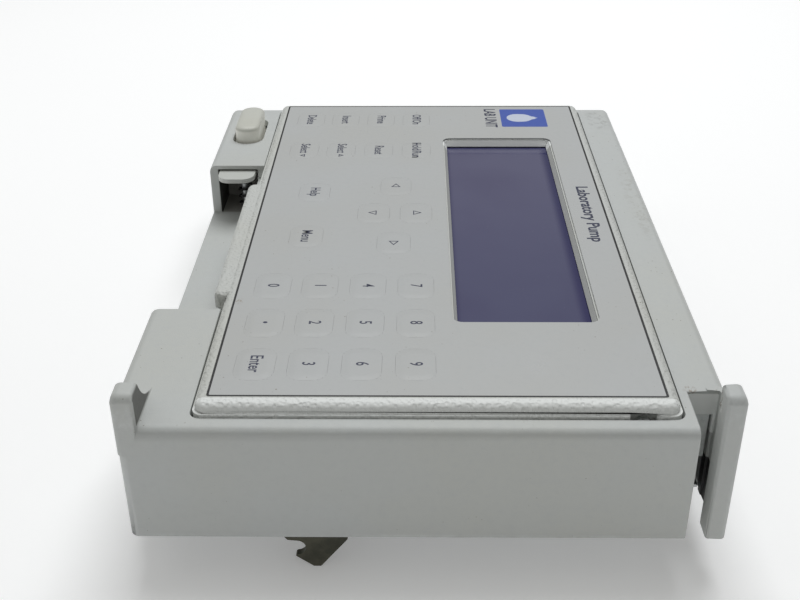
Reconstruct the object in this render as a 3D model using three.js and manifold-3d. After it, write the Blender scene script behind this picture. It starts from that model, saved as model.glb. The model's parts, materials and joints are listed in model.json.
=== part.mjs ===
// Upper front door of a bench pump, with a control panel that tilts out of it.
//
// The door lies on its back. +Z points out of its front face, +X to the edge that is its top when it
// hangs on the pump, and +Y to the side that is then its left. Millimetres. The origin is at the
// middle of the door, on the surface that it lies on. Inside the group "door" z = 0 is the front face.

import * as THREE from 'three';
import { ConvexGeometry } from 'three/addons/geometries/ConvexGeometry.js';
import { mergeVertices } from 'three/addons/utils/BufferGeometryUtils.js';
import Module from 'manifold-3d';

const wasm = await Module();
wasm.setup();

// ---------------------------------------------------------------- driving dimensions

const DOOR_WIDTH = 225; // along Y
const DOOR_HEIGHT = 156.8; // along X
const DOOR_DEPTH = 34; // front face to rear rim
const HOOK_DROP = 13; // rear rim to the hook tips, on which the door lies
const WALL = 2.5; // moulded walls of the housing
const GAP = 0.3; // between pieces that touch
const CLEARANCE = 0.4; // around pieces that are dropped in

const PLAN_RADIUS = 3;
const JOG = 3; // the bottom edge stands in by this at its near end
const JOG_START = 8; // near side to where the edge begins to run out again
const JOG_END = 20;
const JOG_RADIUS = 1.5;
const FACE_EDGE_RADIUS = 2.6;

const OPENING_MARGIN_BOTTOM = 20.6; // door edge to panel opening, at the bottom edge
const OPENING_MARGIN_TOP = 12.8;
const OPENING_MARGIN_NEAR = 5;
const OPENING_MARGIN_FAR = 3.2;
const OPENING_RADIUS = 3;

const RECESS_START = 58.8; // near side to the finger recess
const RECESS_LENGTH = 105.1;
const RECESS_DEPTH = 19;
const RECESS_WALL_TOP = -5; // the lip passes over this wall

const FIN_RISE = 9.8; // above the front face
const FIN_FLAT = 6.4; // along Y, before the fin sweeps down
const FIN_SWEEP_END = 19.4;
const FIN_EDGE_RADIUS = 2.3;
const FIN_SIDE_RADIUS = 1.6; // its near outer edge
const FIN_BREAK = 0.8; // broken inner edge
const FIN_SWEEP_PULL = 3.5; // how the sweep bends
const FIN_SWEEP_LOW = 1.2;
const FIN_ROOT = 8; // how far the bottom fin runs into the near wall
const BOTTOM_FIN_THICKNESS = 5.9;
const TOP_FIN_THICKNESS = 5.3;
const TOP_FIN_GAP = 5; // slot between the near wall and the fin at the top edge
const WEB_THICKNESS = 2.2; // side wall behind that fin
const NOTCH_LENGTH = 17.5;
const NOTCH_WALL = 1.8;
const NOTCH_LINTEL = 7.4;
const NOTCH_POST = 0.7; // left of the back wall on each side of its window
const BRACKET_THICKNESS = 1.4;
const BRACKET_BOTTOM = 21.4; // below the front face
const BRACKET_REACH = 8;
const BRACKET_LIP = 6;

const TILT_AXIS_FROM_TOP = 23.5; // door's top edge to the tilt axis
const TILT_AXIS_DEPTH = 2.2; // below the front face
const LUG_HALF_WIDTH = 2.2;
const LUG_REACH = 1.8; // out of the opening's edge
const LUG_DEPTH = 2.2; // below the tilt axis, short enough to stay in the panel's pocket as it tilts
const LUG_ROOT = 1.2; // how far it runs into the opening's edge
const LUG_POCKET = 3.3; // half width of that pocket
const LUG_POCKET_TOP = 1.1; // above the front face
const PIVOT_RADIUS = 1.4;
const PIVOT_LENGTH = 8;
const PIVOT_ROOT = 1.2; // into the lug and the opening's edge

const PANEL_RISE = 3.3; // bezel's rim above the front face
const SKIRT_GAP = 0.6; // opening to the bezel's skirt
const RIM_STEP = 0.6; // skirt to the rounded rim above it
const RIM_RADIUS = 2;
const SKIRT_TOP = 0.6;
const TRAY_DEPTH = 14.5; // below the front face
const TRAY_WALL = 2.2;
const OVERLAY_THICKNESS = 0.35;
const OVERLAY_MARGIN_BOTTOM = 2.9; // rim's edge to the overlay
const OVERLAY_MARGIN_TOP = 2.8;
const OVERLAY_MARGIN_NEAR = 3.8;
const OVERLAY_MARGIN_FAR = 2.4;
const LIP_REACH = 3.8; // out of the rim, over the recess
const LIP_START = 3.4; // recess's near end to the lip
const LIP_LENGTH = 79;
const LIP_THICKNESS = 5;
const LIP_DROP = 0.3; // rim's top to the lip's top
const LIP_EDGE_RADIUS = 1.6;
const PANEL_BOSS = { half: 4.5, length: 4.5, below: 5 }; // round the pivot pins
const PANEL_SCREW_INSET = { corner: 4, topEdge: 20 };

const WINDOW_DEPTH = 3; // overlay's face to the display window
const WINDOW_SLOPE = 1.5; // the opening narrows by this on each side
const WINDOW_RADIUS = 3;
const LENS_BORDER = 3; // lens beyond the opening it shows through
const LENS_THICKNESS = 1.5;
const MODULE_THICKNESS = 6;
const BACKLIGHT_THICKNESS = 2;
const BOARD_THICKNESS = 1.6;
const DRIVER_BOARD = { beyond: 20, short: 4 }; // past the display towards the bottom edge, and short of it at the top
const CONNECTOR = { inset: 3, width: 8, length: 50, height: 3 };

const KEY_LENGTH = 14.5; // along Y
const KEY_WIDTH = 10; // along X
const KEY_RADIUS = 3.4;
const KEY_RISE = 0.35; // above the overlay
const KEY_TRAVEL = 0.5;
const STEM_RADIUS = 2;
const STEM_CLEARANCE = 0.4;
const KEY_POCKET_DEPTH = 1.2; // below the overlay
const DOME_RADIUS = 2.6;
const DOME_HEIGHT = 0.5;

const BUTTON_LENGTH = 25.2; // along Y
const BUTTON_WIDTH = 9.4;
const BUTTON_GAP = 1.3;
const BUTTON_RISE = 5.9;
const BUTTON_TRAVEL = 3;
const BUTTON_CENTRE_FROM_BOTTOM = 11;
const BUTTON_CENTRE_FROM_FAR = 25.7;
const BUTTON_DEPTH = 9; // below the front face
const BUTTON_FLANGE = 1.9;
const BUTTON_WALL = 1.4;
const BUTTON_HOLLOW = 5; // depth of the hollow under it
const BUTTON_EDGE_RADIUS = 0.9;
const BUTTON_STEM = { width: 4, length: 3.5, aside: 3.25 }; // it works the switch beside the spring
const BUTTON_SPRING = { radius: 2.6, wire: 0.4, aside: 4.2 };
const SWITCH_BODY = { width: 11, length: 20 };
const SWITCH_PLUNGER = { width: 3, length: 2.7, rise: 0.7 };
const SWITCH_DEPTH = 22; // top of the switch body, below the front face

const TAB_THICKNESS = 1.6;
const TAB_REACH = 8; // out of the block's mouth
const TAB_INSIDE = 12;
const TAB_DEPTH = 2.1; // its top, below the front face
const TAB_CORNER_RADIUS = 4.6;
const TAB_SIDE_GAP = 0.6;
const TAB_PIN_RADIUS = 1.2;
const TAB_PIN_FROM_END = 2;
const TAB_PIN_BELOW = 0.6; // leaf's underside to the pin's axis
const TAB_BARREL_WALL = 1;
const TAB_PIN_HOLD = 1.4; // the pin's holes run this far into the block's sides
const MOUTH_SIDE = 3.2; // bottom edge to the mouth
const MOUTH_SPARE = 4; // behind the tab
const LATCH_SPRING_RADIUS = 2.4;
const LATCH_SPRING_WIRE = 0.45;
const LATCH_SPRING_INSIDE = 4.6; // mouth to the spring's axis
const LATCH_SPRING_ASIDE = 1.6;
const LATCH_POST_RADIUS = 1.4;
const LATCH_POST_SHORT = 5; // post's top to the tab
const SPRING_TURNS = 5;
const MOUTH_TOP = 1.6; // thickness left above the block's mouth

const PLATE_THICKNESS = 1.2;
const PLATE_INSET = 0.2; // rear rim to the plate's outer face
const SCREW_HEAD_RADIUS = 2.5;
const SCREW_HEAD_HEIGHT = 1.1;
const SCREW_SHANK_RADIUS = 1.2;
const SCREW_LENGTH = 7;
const SCREW_SLOT_WIDTH = 0.8;
const SCREW_SLOT_DEPTH = 0.5;
const BOSS_RADIUS = 3;
const NEAR_SCREWS = { fromBottomWall: 1, fromNearWall: 2.5, behindNotch: 12 }; // beyond their bosses
const FAR_SCREW_INSET = 2;
const CABLE_SLOT = { length: 60, width: 15, fromFar: 45 };
const BOSS_SINK = 0.4; // how far a boss beside a wall runs into it

const HOOK_THICKNESS = 2;
const HOOK_CENTRE_FROM_BOTTOM = 49.8;
const HOOK_FLANGE_LENGTH = 10;
const HOOK_PLATE = 1.5;
const HOOK_HALF_LENGTH = 9.5;
const HOOK_NOTCH = { x: -4, z: -6.4, r: 2.4 }; // from the hook's middle and the rear rim
const HOOK_TIP = { back: 0.2, front: 2.2, slope: 3.6 };
const HOOK_INSET = 0.6; // inside of the side wall to the hook
const STRIKER_FROM_TOP = 25;
const STRIKER_WIDTH = 30;
const STRIKER_THICKNESS = 2;
const STRIKER_FLANGE = 10;
const STRIKER_SLOT_INSET = { side: 7, end: 3.2 };

const BRACE_PIVOT_FROM_AXIS = 46.5;
const BRACE_PIVOT_BELOW_AXIS = 18.3;
const BRACE_LENGTH = 45.9;
const BRACE_WIDTH = 80;
const BRACE_THICKNESS = 2;
const BRACE_FOOT_RADIUS = 1.8;
const BRACE_BARREL_RADIUS = 2.8;
const BRACE_ROD_RADIUS = 1.3;
const BRACE_EAR_THICKNESS = 3;
const BRACE_EAR_RADIUS = 4;
const BRACE_EAR_GAP = 1;
const BRACE_CUTOUT = { root: 9, toe: 8, side: 10 };

// ---------------------------------------------------------------- worked out from them

const xBottom = -DOOR_HEIGHT / 2;
const xTop = DOOR_HEIGHT / 2;
const yNear = -DOOR_WIDTH / 2;
const yFar = DOOR_WIDTH / 2;
const zRear = -DOOR_DEPTH;
const ABOVE = 20; // cutters run this far past a face

const opening = {
  x0: xBottom + OPENING_MARGIN_BOTTOM,
  x1: xTop - OPENING_MARGIN_TOP,
  y0: yNear + OPENING_MARGIN_NEAR,
  y1: yFar - OPENING_MARGIN_FAR,
};
const skirt = inset(opening, SKIRT_GAP);
const rim = inset(skirt, RIM_STEP);
const tray = inset(skirt, TRAY_WALL);
const overlay = {
  x0: rim.x0 + OVERLAY_MARGIN_BOTTOM,
  x1: rim.x1 - OVERLAY_MARGIN_TOP,
  y0: rim.y0 + OVERLAY_MARGIN_NEAR,
  y1: rim.y1 - OVERLAY_MARGIN_FAR,
};
const recess = {
  x0: xBottom,
  x1: opening.x0 - WALL,
  y0: yNear + RECESS_START,
  y1: yNear + RECESS_START + RECESS_LENGTH,
};
const tiltAxis = { x: xTop - TILT_AXIS_FROM_TOP, z: -TILT_AXIS_DEPTH };
const faceBottom = PANEL_RISE - WINDOW_DEPTH;

// The panel's face is laid out in shares of the overlay, so that keys and window keep their order.
const overlayWidth = overlay.x1 - overlay.x0;
const overlayLength = overlay.y1 - overlay.y0;
const faceX = (share) => overlay.x0 + share * overlayWidth;
const faceY = (share) => overlay.y0 + share * overlayLength;
const displayOpening = { x0: faceX(0.544), x1: faceX(0.897), y0: faceY(0.174), y1: faceY(0.83) };

const ROWS = [0.09, 0.21, 0.332, 0.454].map(faceX);
const NUMBER_COLUMNS = [0.07, 0.17, 0.271].map(faceY);
const COMMAND_COLUMNS = [0.772, 0.925].map(faceY);
const ARROW_MIDDLE = { x: (ROWS[2] + ROWS[3]) / 2, y: faceY(0.5095) };
const ARROW_REACH = 0.1045 * overlayLength;

const KEYS = {
  key_0: [ROWS[0], NUMBER_COLUMNS[2]],
  key_1: [ROWS[1], NUMBER_COLUMNS[2]],
  key_4: [ROWS[2], NUMBER_COLUMNS[2]],
  key_7: [ROWS[3], NUMBER_COLUMNS[2]],
  key_decimal: [ROWS[0], NUMBER_COLUMNS[1]],
  key_2: [ROWS[1], NUMBER_COLUMNS[1]],
  key_5: [ROWS[2], NUMBER_COLUMNS[1]],
  key_8: [ROWS[3], NUMBER_COLUMNS[1]],
  key_enter: [ROWS[0], NUMBER_COLUMNS[0]],
  key_3: [ROWS[1], NUMBER_COLUMNS[0]],
  key_6: [ROWS[2], NUMBER_COLUMNS[0]],
  key_9: [ROWS[3], NUMBER_COLUMNS[0]],
  key_up: [ROWS[3], ARROW_MIDDLE.y],
  key_down: [ROWS[2], ARROW_MIDDLE.y],
  key_left: [ARROW_MIDDLE.x, ARROW_MIDDLE.y + ARROW_REACH],
  key_right: [ARROW_MIDDLE.x, ARROW_MIDDLE.y - ARROW_REACH],
  key_help: [(ROWS[0] + ROWS[1]) / 2, faceY(0.59)],
  key_menu: [(ROWS[0] + ROWS[1]) / 2, faceY(0.4265)],
  key_select_down: [ROWS[0], COMMAND_COLUMNS[0]],
  key_select_up: [ROWS[1], COMMAND_COLUMNS[0]],
  key_reset: [ROWS[2], COMMAND_COLUMNS[0]],
  key_hold_run: [ROWS[3], COMMAND_COLUMNS[0]],
  key_delete: [ROWS[0], COMMAND_COLUMNS[1]],
  key_insert: [ROWS[1], COMMAND_COLUMNS[1]],
  key_prime: [ROWS[2], COMMAND_COLUMNS[1]],
  key_off_on: [ROWS[3], COMMAND_COLUMNS[1]],
};

// ---------------------------------------------------------------- finishes

const finish = (color, roughness, metalness = 0) => new THREE.MeshStandardMaterial({ color, roughness, metalness });
const shellPlastic = finish(0xb2b6b3, 0.55);
const panelPlastic = finish(0xb5b8b5, 0.6);
const overlayFilm = finish(0xacaeb1, 0.45);
const displayGlass = finish(0x5c5c76, 0.1);
const buttonPlastic = finish(0xbcbbb0, 0.45);
const darkPlastic = finish(0x2b2b2d, 0.6);
const olivePlate = finish(0x46463c, 0.5, 0.7);
const zincPlate = finish(0x9a9d9c, 0.4, 0.8);
const steel = finish(0xb8bbbd, 0.3, 0.9);
const boardGreen = finish(0x1f5b3a, 0.6);
const lightGuide = finish(0xe4e6e2, 0.5);

// ---------------------------------------------------------------- solid helpers

function inset(area, d) {
  return { x0: area.x0 + d, x1: area.x1 - d, y0: area.y0 + d, y1: area.y1 - d };
}

function manifold(geometry) {
  const plain = geometry.clone();
  plain.deleteAttribute('normal');
  plain.deleteAttribute('uv');
  const merged = mergeVertices(plain, 1e-4);
  return new wasm.Manifold(new wasm.Mesh({
    numProp: 3,
    vertProperties: new Float32Array(merged.attributes.position.array),
    triVerts: new Uint32Array(merged.index.array),
  }));
}

function geometryOf(solid) {
  const data = solid.getMesh();
  const geometry = new THREE.BufferGeometry();
  geometry.setAttribute('position', new THREE.BufferAttribute(new Float32Array(data.vertProperties), 3));
  geometry.setIndex(new THREE.BufferAttribute(new Uint32Array(data.triVerts), 1));
  geometry.computeVertexNormals();
  return geometry;
}

function piece(name, solid, material) {
  const mesh = new THREE.Mesh(geometryOf(solid), material);
  mesh.name = name;
  return mesh;
}

const union = (...solids) => solids.reduce((sum, each) => sum.add(each));

function box(x0, x1, y0, y1, z0, z1) {
  const geometry = new THREE.BoxGeometry(x1 - x0, y1 - y0, z1 - z0);
  geometry.translate((x0 + x1) / 2, (y0 + y1) / 2, (z0 + z1) / 2);
  return manifold(geometry);
}

// A block with its middle at (x, y).
const blockAt = (x, y, width, length, z0, z1) => box(x - width / 2, x + width / 2, y - length / 2, y + length / 2, z0, z1);

// Area with one radius for each corner: near bottom, near top, far top, far bottom.
function areaShape({ x0, x1, y0, y1 }, radii) {
  const [a, b, c, d] = Array.isArray(radii) ? radii : [radii, radii, radii, radii];
  const shape = new THREE.Shape();
  shape.moveTo(x0 + a, y0);
  shape.lineTo(x1 - b, y0);
  shape.absarc(x1 - b, y0 + b, b, -Math.PI / 2, 0, false);
  shape.lineTo(x1, y1 - c);
  shape.absarc(x1 - c, y1 - c, c, 0, Math.PI / 2, false);
  shape.lineTo(x0 + d, y1);
  shape.absarc(x0 + d, y1 - d, d, Math.PI / 2, Math.PI, false);
  shape.lineTo(x0, y0 + a);
  shape.absarc(x0 + a, y0 + a, a, Math.PI, Math.PI * 1.5, false);
  return shape;
}

function polygon(points) {
  return new THREE.Shape(points.map(([x, y]) => new THREE.Vector2(x, y)));
}

function prismZ(shape, z0, z1, curveSegments = 4) {
  const geometry = new THREE.ExtrudeGeometry(shape, { depth: z1 - z0, bevelEnabled: false, curveSegments });
  geometry.translate(0, 0, z0);
  return manifold(geometry);
}

// The shape is drawn in (x, z).
function prismY(shape, y0, y1, curveSegments = 4) {
  const geometry = new THREE.ExtrudeGeometry(shape, { depth: y1 - y0, bevelEnabled: false, curveSegments });
  geometry.rotateX(Math.PI / 2);
  geometry.translate(0, y1, 0);
  return manifold(geometry);
}

// The shape is drawn in (y, z).
function prismX(shape, x0, x1, curveSegments = 4) {
  const geometry = new THREE.ExtrudeGeometry(shape, { depth: x1 - x0, bevelEnabled: false, curveSegments });
  const turn = new THREE.Matrix4();
  turn.makeBasis(new THREE.Vector3(0, 1, 0), new THREE.Vector3(0, 0, 1), new THREE.Vector3(1, 0, 0));
  geometry.applyMatrix4(turn);
  geometry.translate(x0, 0, 0);
  return manifold(geometry);
}

// A slab whose upper edge is rounded all round; flat is its outline, already drawn in by the edge radius.
function roundedPrism(flat, z0, z1, edge) {
  const geometry = new THREE.ExtrudeGeometry(flat, {
    depth: z1 - z0,
    bevelThickness: edge,
    bevelSize: edge,
    bevelSegments: 3,
    curveSegments: 3,
  });
  geometry.translate(0, 0, z0 - edge);
  geometry.computeBoundingBox();
  const { min, max } = geometry.boundingBox;
  return manifold(geometry).subtract(box(min.x - 1, max.x + 1, min.y - 1, max.y + 1, min.z - 1, z0));
}

function roundedSlab(area, radii, z0, z1, edge) {
  const all = Array.isArray(radii) ? radii : [radii, radii, radii, radii];
  return roundedPrism(areaShape(inset(area, edge), all.map((r) => Math.max(r - edge, 0.2))), z0, z1, edge);
}

function cylinderZ(x, y, radius, z0, z1, sides = 16) {
  const geometry = new THREE.CylinderGeometry(radius, radius, z1 - z0, sides);
  geometry.rotateX(Math.PI / 2);
  geometry.translate(x, y, (z0 + z1) / 2);
  return manifold(geometry);
}

// The convex body round several geometries.
function hullOf(geometries) {
  const points = [];
  for (const geometry of geometries) {
    const { position } = geometry.attributes;
    for (let i = 0; i < position.count; i++) {
      points.push(new THREE.Vector3().fromBufferAttribute(position, i));
    }
  }
  return manifold(new ConvexGeometry(points));
}

function cylinderY(x, z, radius, y0, y1, sides = 16) {
  const geometry = new THREE.CylinderGeometry(radius, radius, y1 - y0, sides);
  geometry.translate(x, (y0 + y1) / 2, z);
  return manifold(geometry);
}

function cylinderX(y, z, radius, x0, x1, sides = 16) {
  const geometry = new THREE.CylinderGeometry(radius, radius, x1 - x0, sides);
  geometry.rotateZ(Math.PI / 2);
  geometry.translate((x0 + x1) / 2, y, z);
  return manifold(geometry);
}

function spring(x, y, radius, wire, z0, z1, turns) {
  class Helix extends THREE.Curve {
    getPoint(t, target = new THREE.Vector3()) {
      const angle = 2 * Math.PI * turns * t;
      return target.set(x + radius * Math.cos(angle), y + radius * Math.sin(angle), z0 + wire + (z1 - z0 - 2 * wire) * t);
    }
  }
  const section = new THREE.Shape();
  section.absarc(0, 0, wire, 0, 2 * Math.PI, false);
  const geometry = new THREE.ExtrudeGeometry(section, {
    steps: turns * 9,
    curveSegments: 3,
    extrudePath: new Helix(),
  });
  return manifold(geometry);
}

// ---------------------------------------------------------------- door housing


// The door's outline in plan, drawn in by d: its bottom edge jogs in at the near end.
function doorOutline(d) {
  const r = Math.max(PLAN_RADIUS - d, 0.4);
  const rJog = Math.max(JOG_RADIUS - d, 0.3);
  const jogX = xBottom + JOG + d;
  const shape = new THREE.Shape();
  shape.moveTo(jogX + rJog, yNear + d);
  shape.lineTo(xTop - d - r, yNear + d);
  shape.absarc(xTop - d - r, yNear + d + r, r, -Math.PI / 2, 0, false);
  shape.lineTo(xTop - d, yFar - d - r);
  shape.absarc(xTop - d - r, yFar - d - r, r, 0, Math.PI / 2, false);
  shape.lineTo(xBottom + d + r, yFar - d);
  shape.absarc(xBottom + d + r, yFar - d - r, r, Math.PI / 2, Math.PI, false);
  shape.lineTo(xBottom + d, yNear + JOG_END);
  shape.lineTo(jogX, yNear + JOG_START);
  shape.lineTo(jogX, yNear + d + rJog);
  shape.absarc(jogX + rJog, yNear + d + rJog, rJog, Math.PI, Math.PI * 1.5, false);
  return shape;
}

const webInside = xTop - WEB_THICKNESS;
const notchX0 = xTop - TOP_FIN_THICKNESS - TOP_FIN_GAP;
const notchY1 = yNear + NOTCH_LENGTH;

function finProfile(foot, edge) {
  const shape = new THREE.Shape();
  shape.moveTo(yNear, foot);
  shape.lineTo(yNear + FIN_SWEEP_END, foot);
  shape.lineTo(yNear + FIN_SWEEP_END, 0);
  shape.quadraticCurveTo(yNear + FIN_FLAT + FIN_SWEEP_PULL, FIN_SWEEP_LOW, yNear + FIN_FLAT, FIN_RISE);
  shape.lineTo(yNear + edge, FIN_RISE);
  shape.absarc(yNear + edge, FIN_RISE - edge, edge, Math.PI / 2, Math.PI, false);
  return shape;
}

// A fin stands up out of a corner. Its flat part is a hull, round over its near, outer and upper edges,
// and the swept part behind it is cut from the profile.
function fin(x0, x1, outerEdge, foot) {
  const r = FIN_EDGE_RADIUS;
  const outer = outerEdge === 'top' ? x1 : x0;
  const inward = outerEdge === 'top' ? -1 : 1;
  const inner = outerEdge === 'top' ? x0 : x1;
  const flatEnd = yNear + FIN_FLAT;
  const core = outer + inward * r;
  const sideRadius = Math.min(FIN_SIDE_RADIUS, r);
  const sideCore = outer + inward * sideRadius;
  const corner = new THREE.SphereGeometry(r, 24, 12).translate(core, yNear + r, FIN_RISE - r);
  const side = new THREE.CylinderGeometry(sideRadius, sideRadius, FIN_RISE - r - foot, 24).rotateX(Math.PI / 2)
    .translate(sideCore, yNear + sideRadius, (FIN_RISE - r + foot) / 2);
  const innerEdge = inner - inward * FIN_BREAK;
  const nearEdge = new THREE.CylinderGeometry(r, r, Math.abs(innerEdge - core), 24).rotateZ(Math.PI / 2)
    .translate((innerEdge + core) / 2, yNear + r, FIN_RISE - r);
  const upperEdge = new THREE.CylinderGeometry(r, r, FIN_FLAT - r, 24).translate(core, (yNear + r + flatEnd) / 2, FIN_RISE - r);
  const nearInner = new THREE.BoxGeometry(FIN_BREAK, 0.1, FIN_RISE - 2 * FIN_BREAK - foot)
    .translate(inner - inward * FIN_BREAK / 2, yNear + r, (FIN_RISE - 2 * FIN_BREAK + foot) / 2);
  const back = new THREE.BoxGeometry(Math.abs(inner - outer), 0.1, FIN_RISE - r - foot)
    .translate((inner + outer) / 2, flatEnd - 0.05, (FIN_RISE - r + foot) / 2);
  const topBack = new THREE.BoxGeometry(Math.abs(innerEdge - core), 0.1, 1)
    .translate((innerEdge + core) / 2, flatEnd - 0.05, FIN_RISE - 0.5);
  const innerTop = new THREE.BoxGeometry(0.1, FIN_FLAT - r, 1)
    .translate(inner - inward * 0.05, (yNear + r + flatEnd) / 2, FIN_RISE - FIN_BREAK - 0.5);
  const innerNear = new THREE.BoxGeometry(0.1, 0.1, FIN_RISE - r - foot)
    .translate(inner - inward * 0.05, yNear + FIN_BREAK + 0.05, (FIN_RISE - r + foot) / 2);
  const innerNearFace = new THREE.BoxGeometry(0.1, 0.1, FIN_RISE - r - foot)
    .translate(innerEdge, yNear + 0.05, (FIN_RISE - r + foot) / 2);
  const flat = hullOf([corner, side, nearEdge, upperEdge, nearInner, back, topBack, innerTop, innerNear, innerNearFace]);
  const across = new THREE.Shape();
  across.moveTo(inner, foot);
  across.lineTo(outer, foot);
  across.lineTo(outer, FIN_RISE - r);
  across.absarc(core, FIN_RISE - r, r, outerEdge === 'top' ? 0 : Math.PI, Math.PI / 2, outerEdge !== 'top');
  across.lineTo(inner - inward * FIN_BREAK, FIN_RISE);
  across.lineTo(inner, FIN_RISE - FIN_BREAK);
  const sweep = prismX(finProfile(foot, r), x0, x1, 8)
    .intersect(prismY(across, flatEnd - 0.1, yNear + FIN_SWEEP_END, 8));
  return flat.add(sweep);
}

const buttonCentre = { x: xBottom + BUTTON_CENTRE_FROM_BOTTOM, y: yFar - BUTTON_CENTRE_FROM_FAR };

function buttonArea(grow) {
  return {
    x0: buttonCentre.x - BUTTON_WIDTH / 2 - grow,
    x1: buttonCentre.x + BUTTON_WIDTH / 2 + grow,
    y0: buttonCentre.y - BUTTON_LENGTH / 2 - grow,
    y1: buttonCentre.y + BUTTON_LENGTH / 2 + grow,
  };
}

const mouth = {
  x0: xBottom + MOUTH_SIDE,
  x1: recess.x1 - GAP,
  y0: recess.y1,
  y1: Math.min(recess.y1 + TAB_INSIDE + MOUTH_SPARE, buttonArea(BUTTON_FLANGE).y0 - CLEARANCE - WALL),
};
const tabPin = { y: mouth.y0 + TAB_INSIDE - TAB_PIN_FROM_END, z: -TAB_DEPTH - TAB_THICKNESS - TAB_PIN_BELOW };

const plateScrews = [
  [xBottom + JOG + WALL + BOSS_RADIUS + NEAR_SCREWS.fromBottomWall, yNear + WALL + BOSS_RADIUS + NEAR_SCREWS.fromNearWall],
  [xBottom + WALL + BOSS_RADIUS - BOSS_SINK, yFar - WALL - BOSS_RADIUS + BOSS_SINK],
  [xTop - WALL - BOSS_RADIUS + BOSS_SINK, yNear + NOTCH_LENGTH + WALL + NEAR_SCREWS.behindNotch],
  [xTop - WALL - BOSS_RADIUS + BOSS_SINK, yFar - WALL - BOSS_RADIUS - FAR_SCREW_INSET],
];
const plateTop = zRear + PLATE_INSET + PLATE_THICKNESS;

function lug(side) {
  const edge = side === 'near' ? opening.y0 : opening.y1;
  const reach = side === 'near' ? LUG_REACH : -LUG_REACH;
  const back = side === 'near' ? -LUG_ROOT : LUG_ROOT;
  const shape = new THREE.Shape();
  shape.moveTo(tiltAxis.x - LUG_HALF_WIDTH, tiltAxis.z - LUG_DEPTH);
  shape.lineTo(tiltAxis.x + LUG_HALF_WIDTH, tiltAxis.z - LUG_DEPTH);
  shape.lineTo(tiltAxis.x + LUG_HALF_WIDTH, tiltAxis.z);
  shape.absarc(tiltAxis.x, tiltAxis.z, LUG_HALF_WIDTH, 0, Math.PI, false);
  return prismY(shape, Math.min(edge + reach, edge + back), Math.max(edge + reach, edge + back));
}

function buildHousing() {
  const outer = roundedPrism(doorOutline(FACE_EDGE_RADIUS), zRear, 0, FACE_EDGE_RADIUS);
  const hollow = prismZ(doorOutline(WALL), zRear - ABOVE, -WALL);
  let shell = outer.subtract(hollow);

  // finger recess and its liner, with the button block's mouth at the far end
  const liner = box(recess.x0 + 1, opening.x0, recess.y0 - WALL, mouth.y1 + WALL, -RECESS_DEPTH - WALL, -1);
  shell = shell.add(liner.intersect(outer));
  shell = shell.subtract(box(recess.x0 - 5, recess.x1, recess.y0, recess.y1, -RECESS_DEPTH, ABOVE));
  shell = shell.subtract(box(recess.x1 - 1, opening.x0 + 1, recess.y0, recess.y1, RECESS_WALL_TOP, ABOVE));
  shell = shell.subtract(box(mouth.x0, mouth.x1, mouth.y0 - 1, mouth.y1, -RECESS_DEPTH, -MOUTH_TOP));

  // notch beside the fin at the top edge: side wall, back wall with its lintel
  const notchLiner = box(notchX0 - NOTCH_WALL, xTop - 1, yNear + 1, notchY1 + WALL, zRear, -1);
  shell = shell.add(notchLiner.intersect(outer));
  shell = shell.subtract(box(notchX0, webInside, yNear - 1, notchY1, zRear - 1, ABOVE));
  shell = shell.subtract(box(webInside - 1, xTop + 1, yNear - 1, yNear + FIN_FLAT, zRear - 1, ABOVE));
  const backWall = [notchY1 - 1, notchY1 + WALL + 1];
  shell = shell.subtract(box(notchX0 + NOTCH_POST, webInside - NOTCH_POST, ...backWall, zRear - 1, -NOTCH_LINTEL));

  // fins
  const bottomFin = fin(xBottom + JOG, xBottom + JOG + BOTTOM_FIN_THICKNESS, 'bottom', -FIN_ROOT);
  const topFinWhole = fin(xTop - TOP_FIN_THICKNESS, xTop, 'top', zRear);
  const behindFin = box(xTop - TOP_FIN_THICKNESS - 1, webInside, yNear + FIN_FLAT, notchY1, zRear - 1, ABOVE);
  const sweepEnd = yNear + FIN_SWEEP_END + 1;
  const insideShell = box(xTop - TOP_FIN_THICKNESS - 1, webInside, notchY1, sweepEnd, zRear - 1, -1);
  const topFin = topFinWhole.subtract(behindFin).subtract(insideShell);
  shell = union(shell, bottomFin, topFin);

  // bosses for the rear plate's screws
  for (const [x, y] of plateScrews) {
    shell = shell.add(cylinderZ(x, y, BOSS_RADIUS, plateTop + GAP, -WALL + 0.5, 12));
  }

  // panel opening and its lugs
  const openingCut = prismZ(areaShape(opening, OPENING_RADIUS), zRear - ABOVE, ABOVE);
  const keepBelow = box(xBottom, opening.x0 + 1, yNear, yFar, zRear - ABOVE - 1, -WALL);
  shell = shell.subtract(openingCut.subtract(keepBelow));
  shell = union(shell, lug('near'), lug('far'));

  // holes: pivot pins, power button, latch pin, screws
  shell = shell.subtract(cylinderY(tiltAxis.x, tiltAxis.z, PIVOT_RADIUS + GAP, opening.y0 - PIVOT_ROOT - CLEARANCE, opening.y0 + 5, 12));
  shell = shell.subtract(cylinderY(tiltAxis.x, tiltAxis.z, PIVOT_RADIUS + GAP, opening.y1 - 5, opening.y1 + PIVOT_ROOT + CLEARANCE, 12));
  const hole = buttonArea(BUTTON_GAP);
  shell = shell.subtract(prismZ(areaShape(hole, BUTTON_WIDTH / 2 + BUTTON_GAP - 0.01), -WALL - 1, ABOVE, 5));
  shell = shell.subtract(cylinderX(tabPin.y, tabPin.z, TAB_PIN_RADIUS + GAP, mouth.x0 - TAB_PIN_HOLD, mouth.x1 + TAB_PIN_HOLD, 10));
  for (const [x, y] of plateScrews) {
    shell = shell.subtract(cylinderZ(x, y, SCREW_SHANK_RADIUS + GAP, zRear - 1, plateTop + SCREW_LENGTH, 8));
  }
  return piece('door_housing', shell, shellPlastic);
}

// ---------------------------------------------------------------- rear of the door

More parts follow.
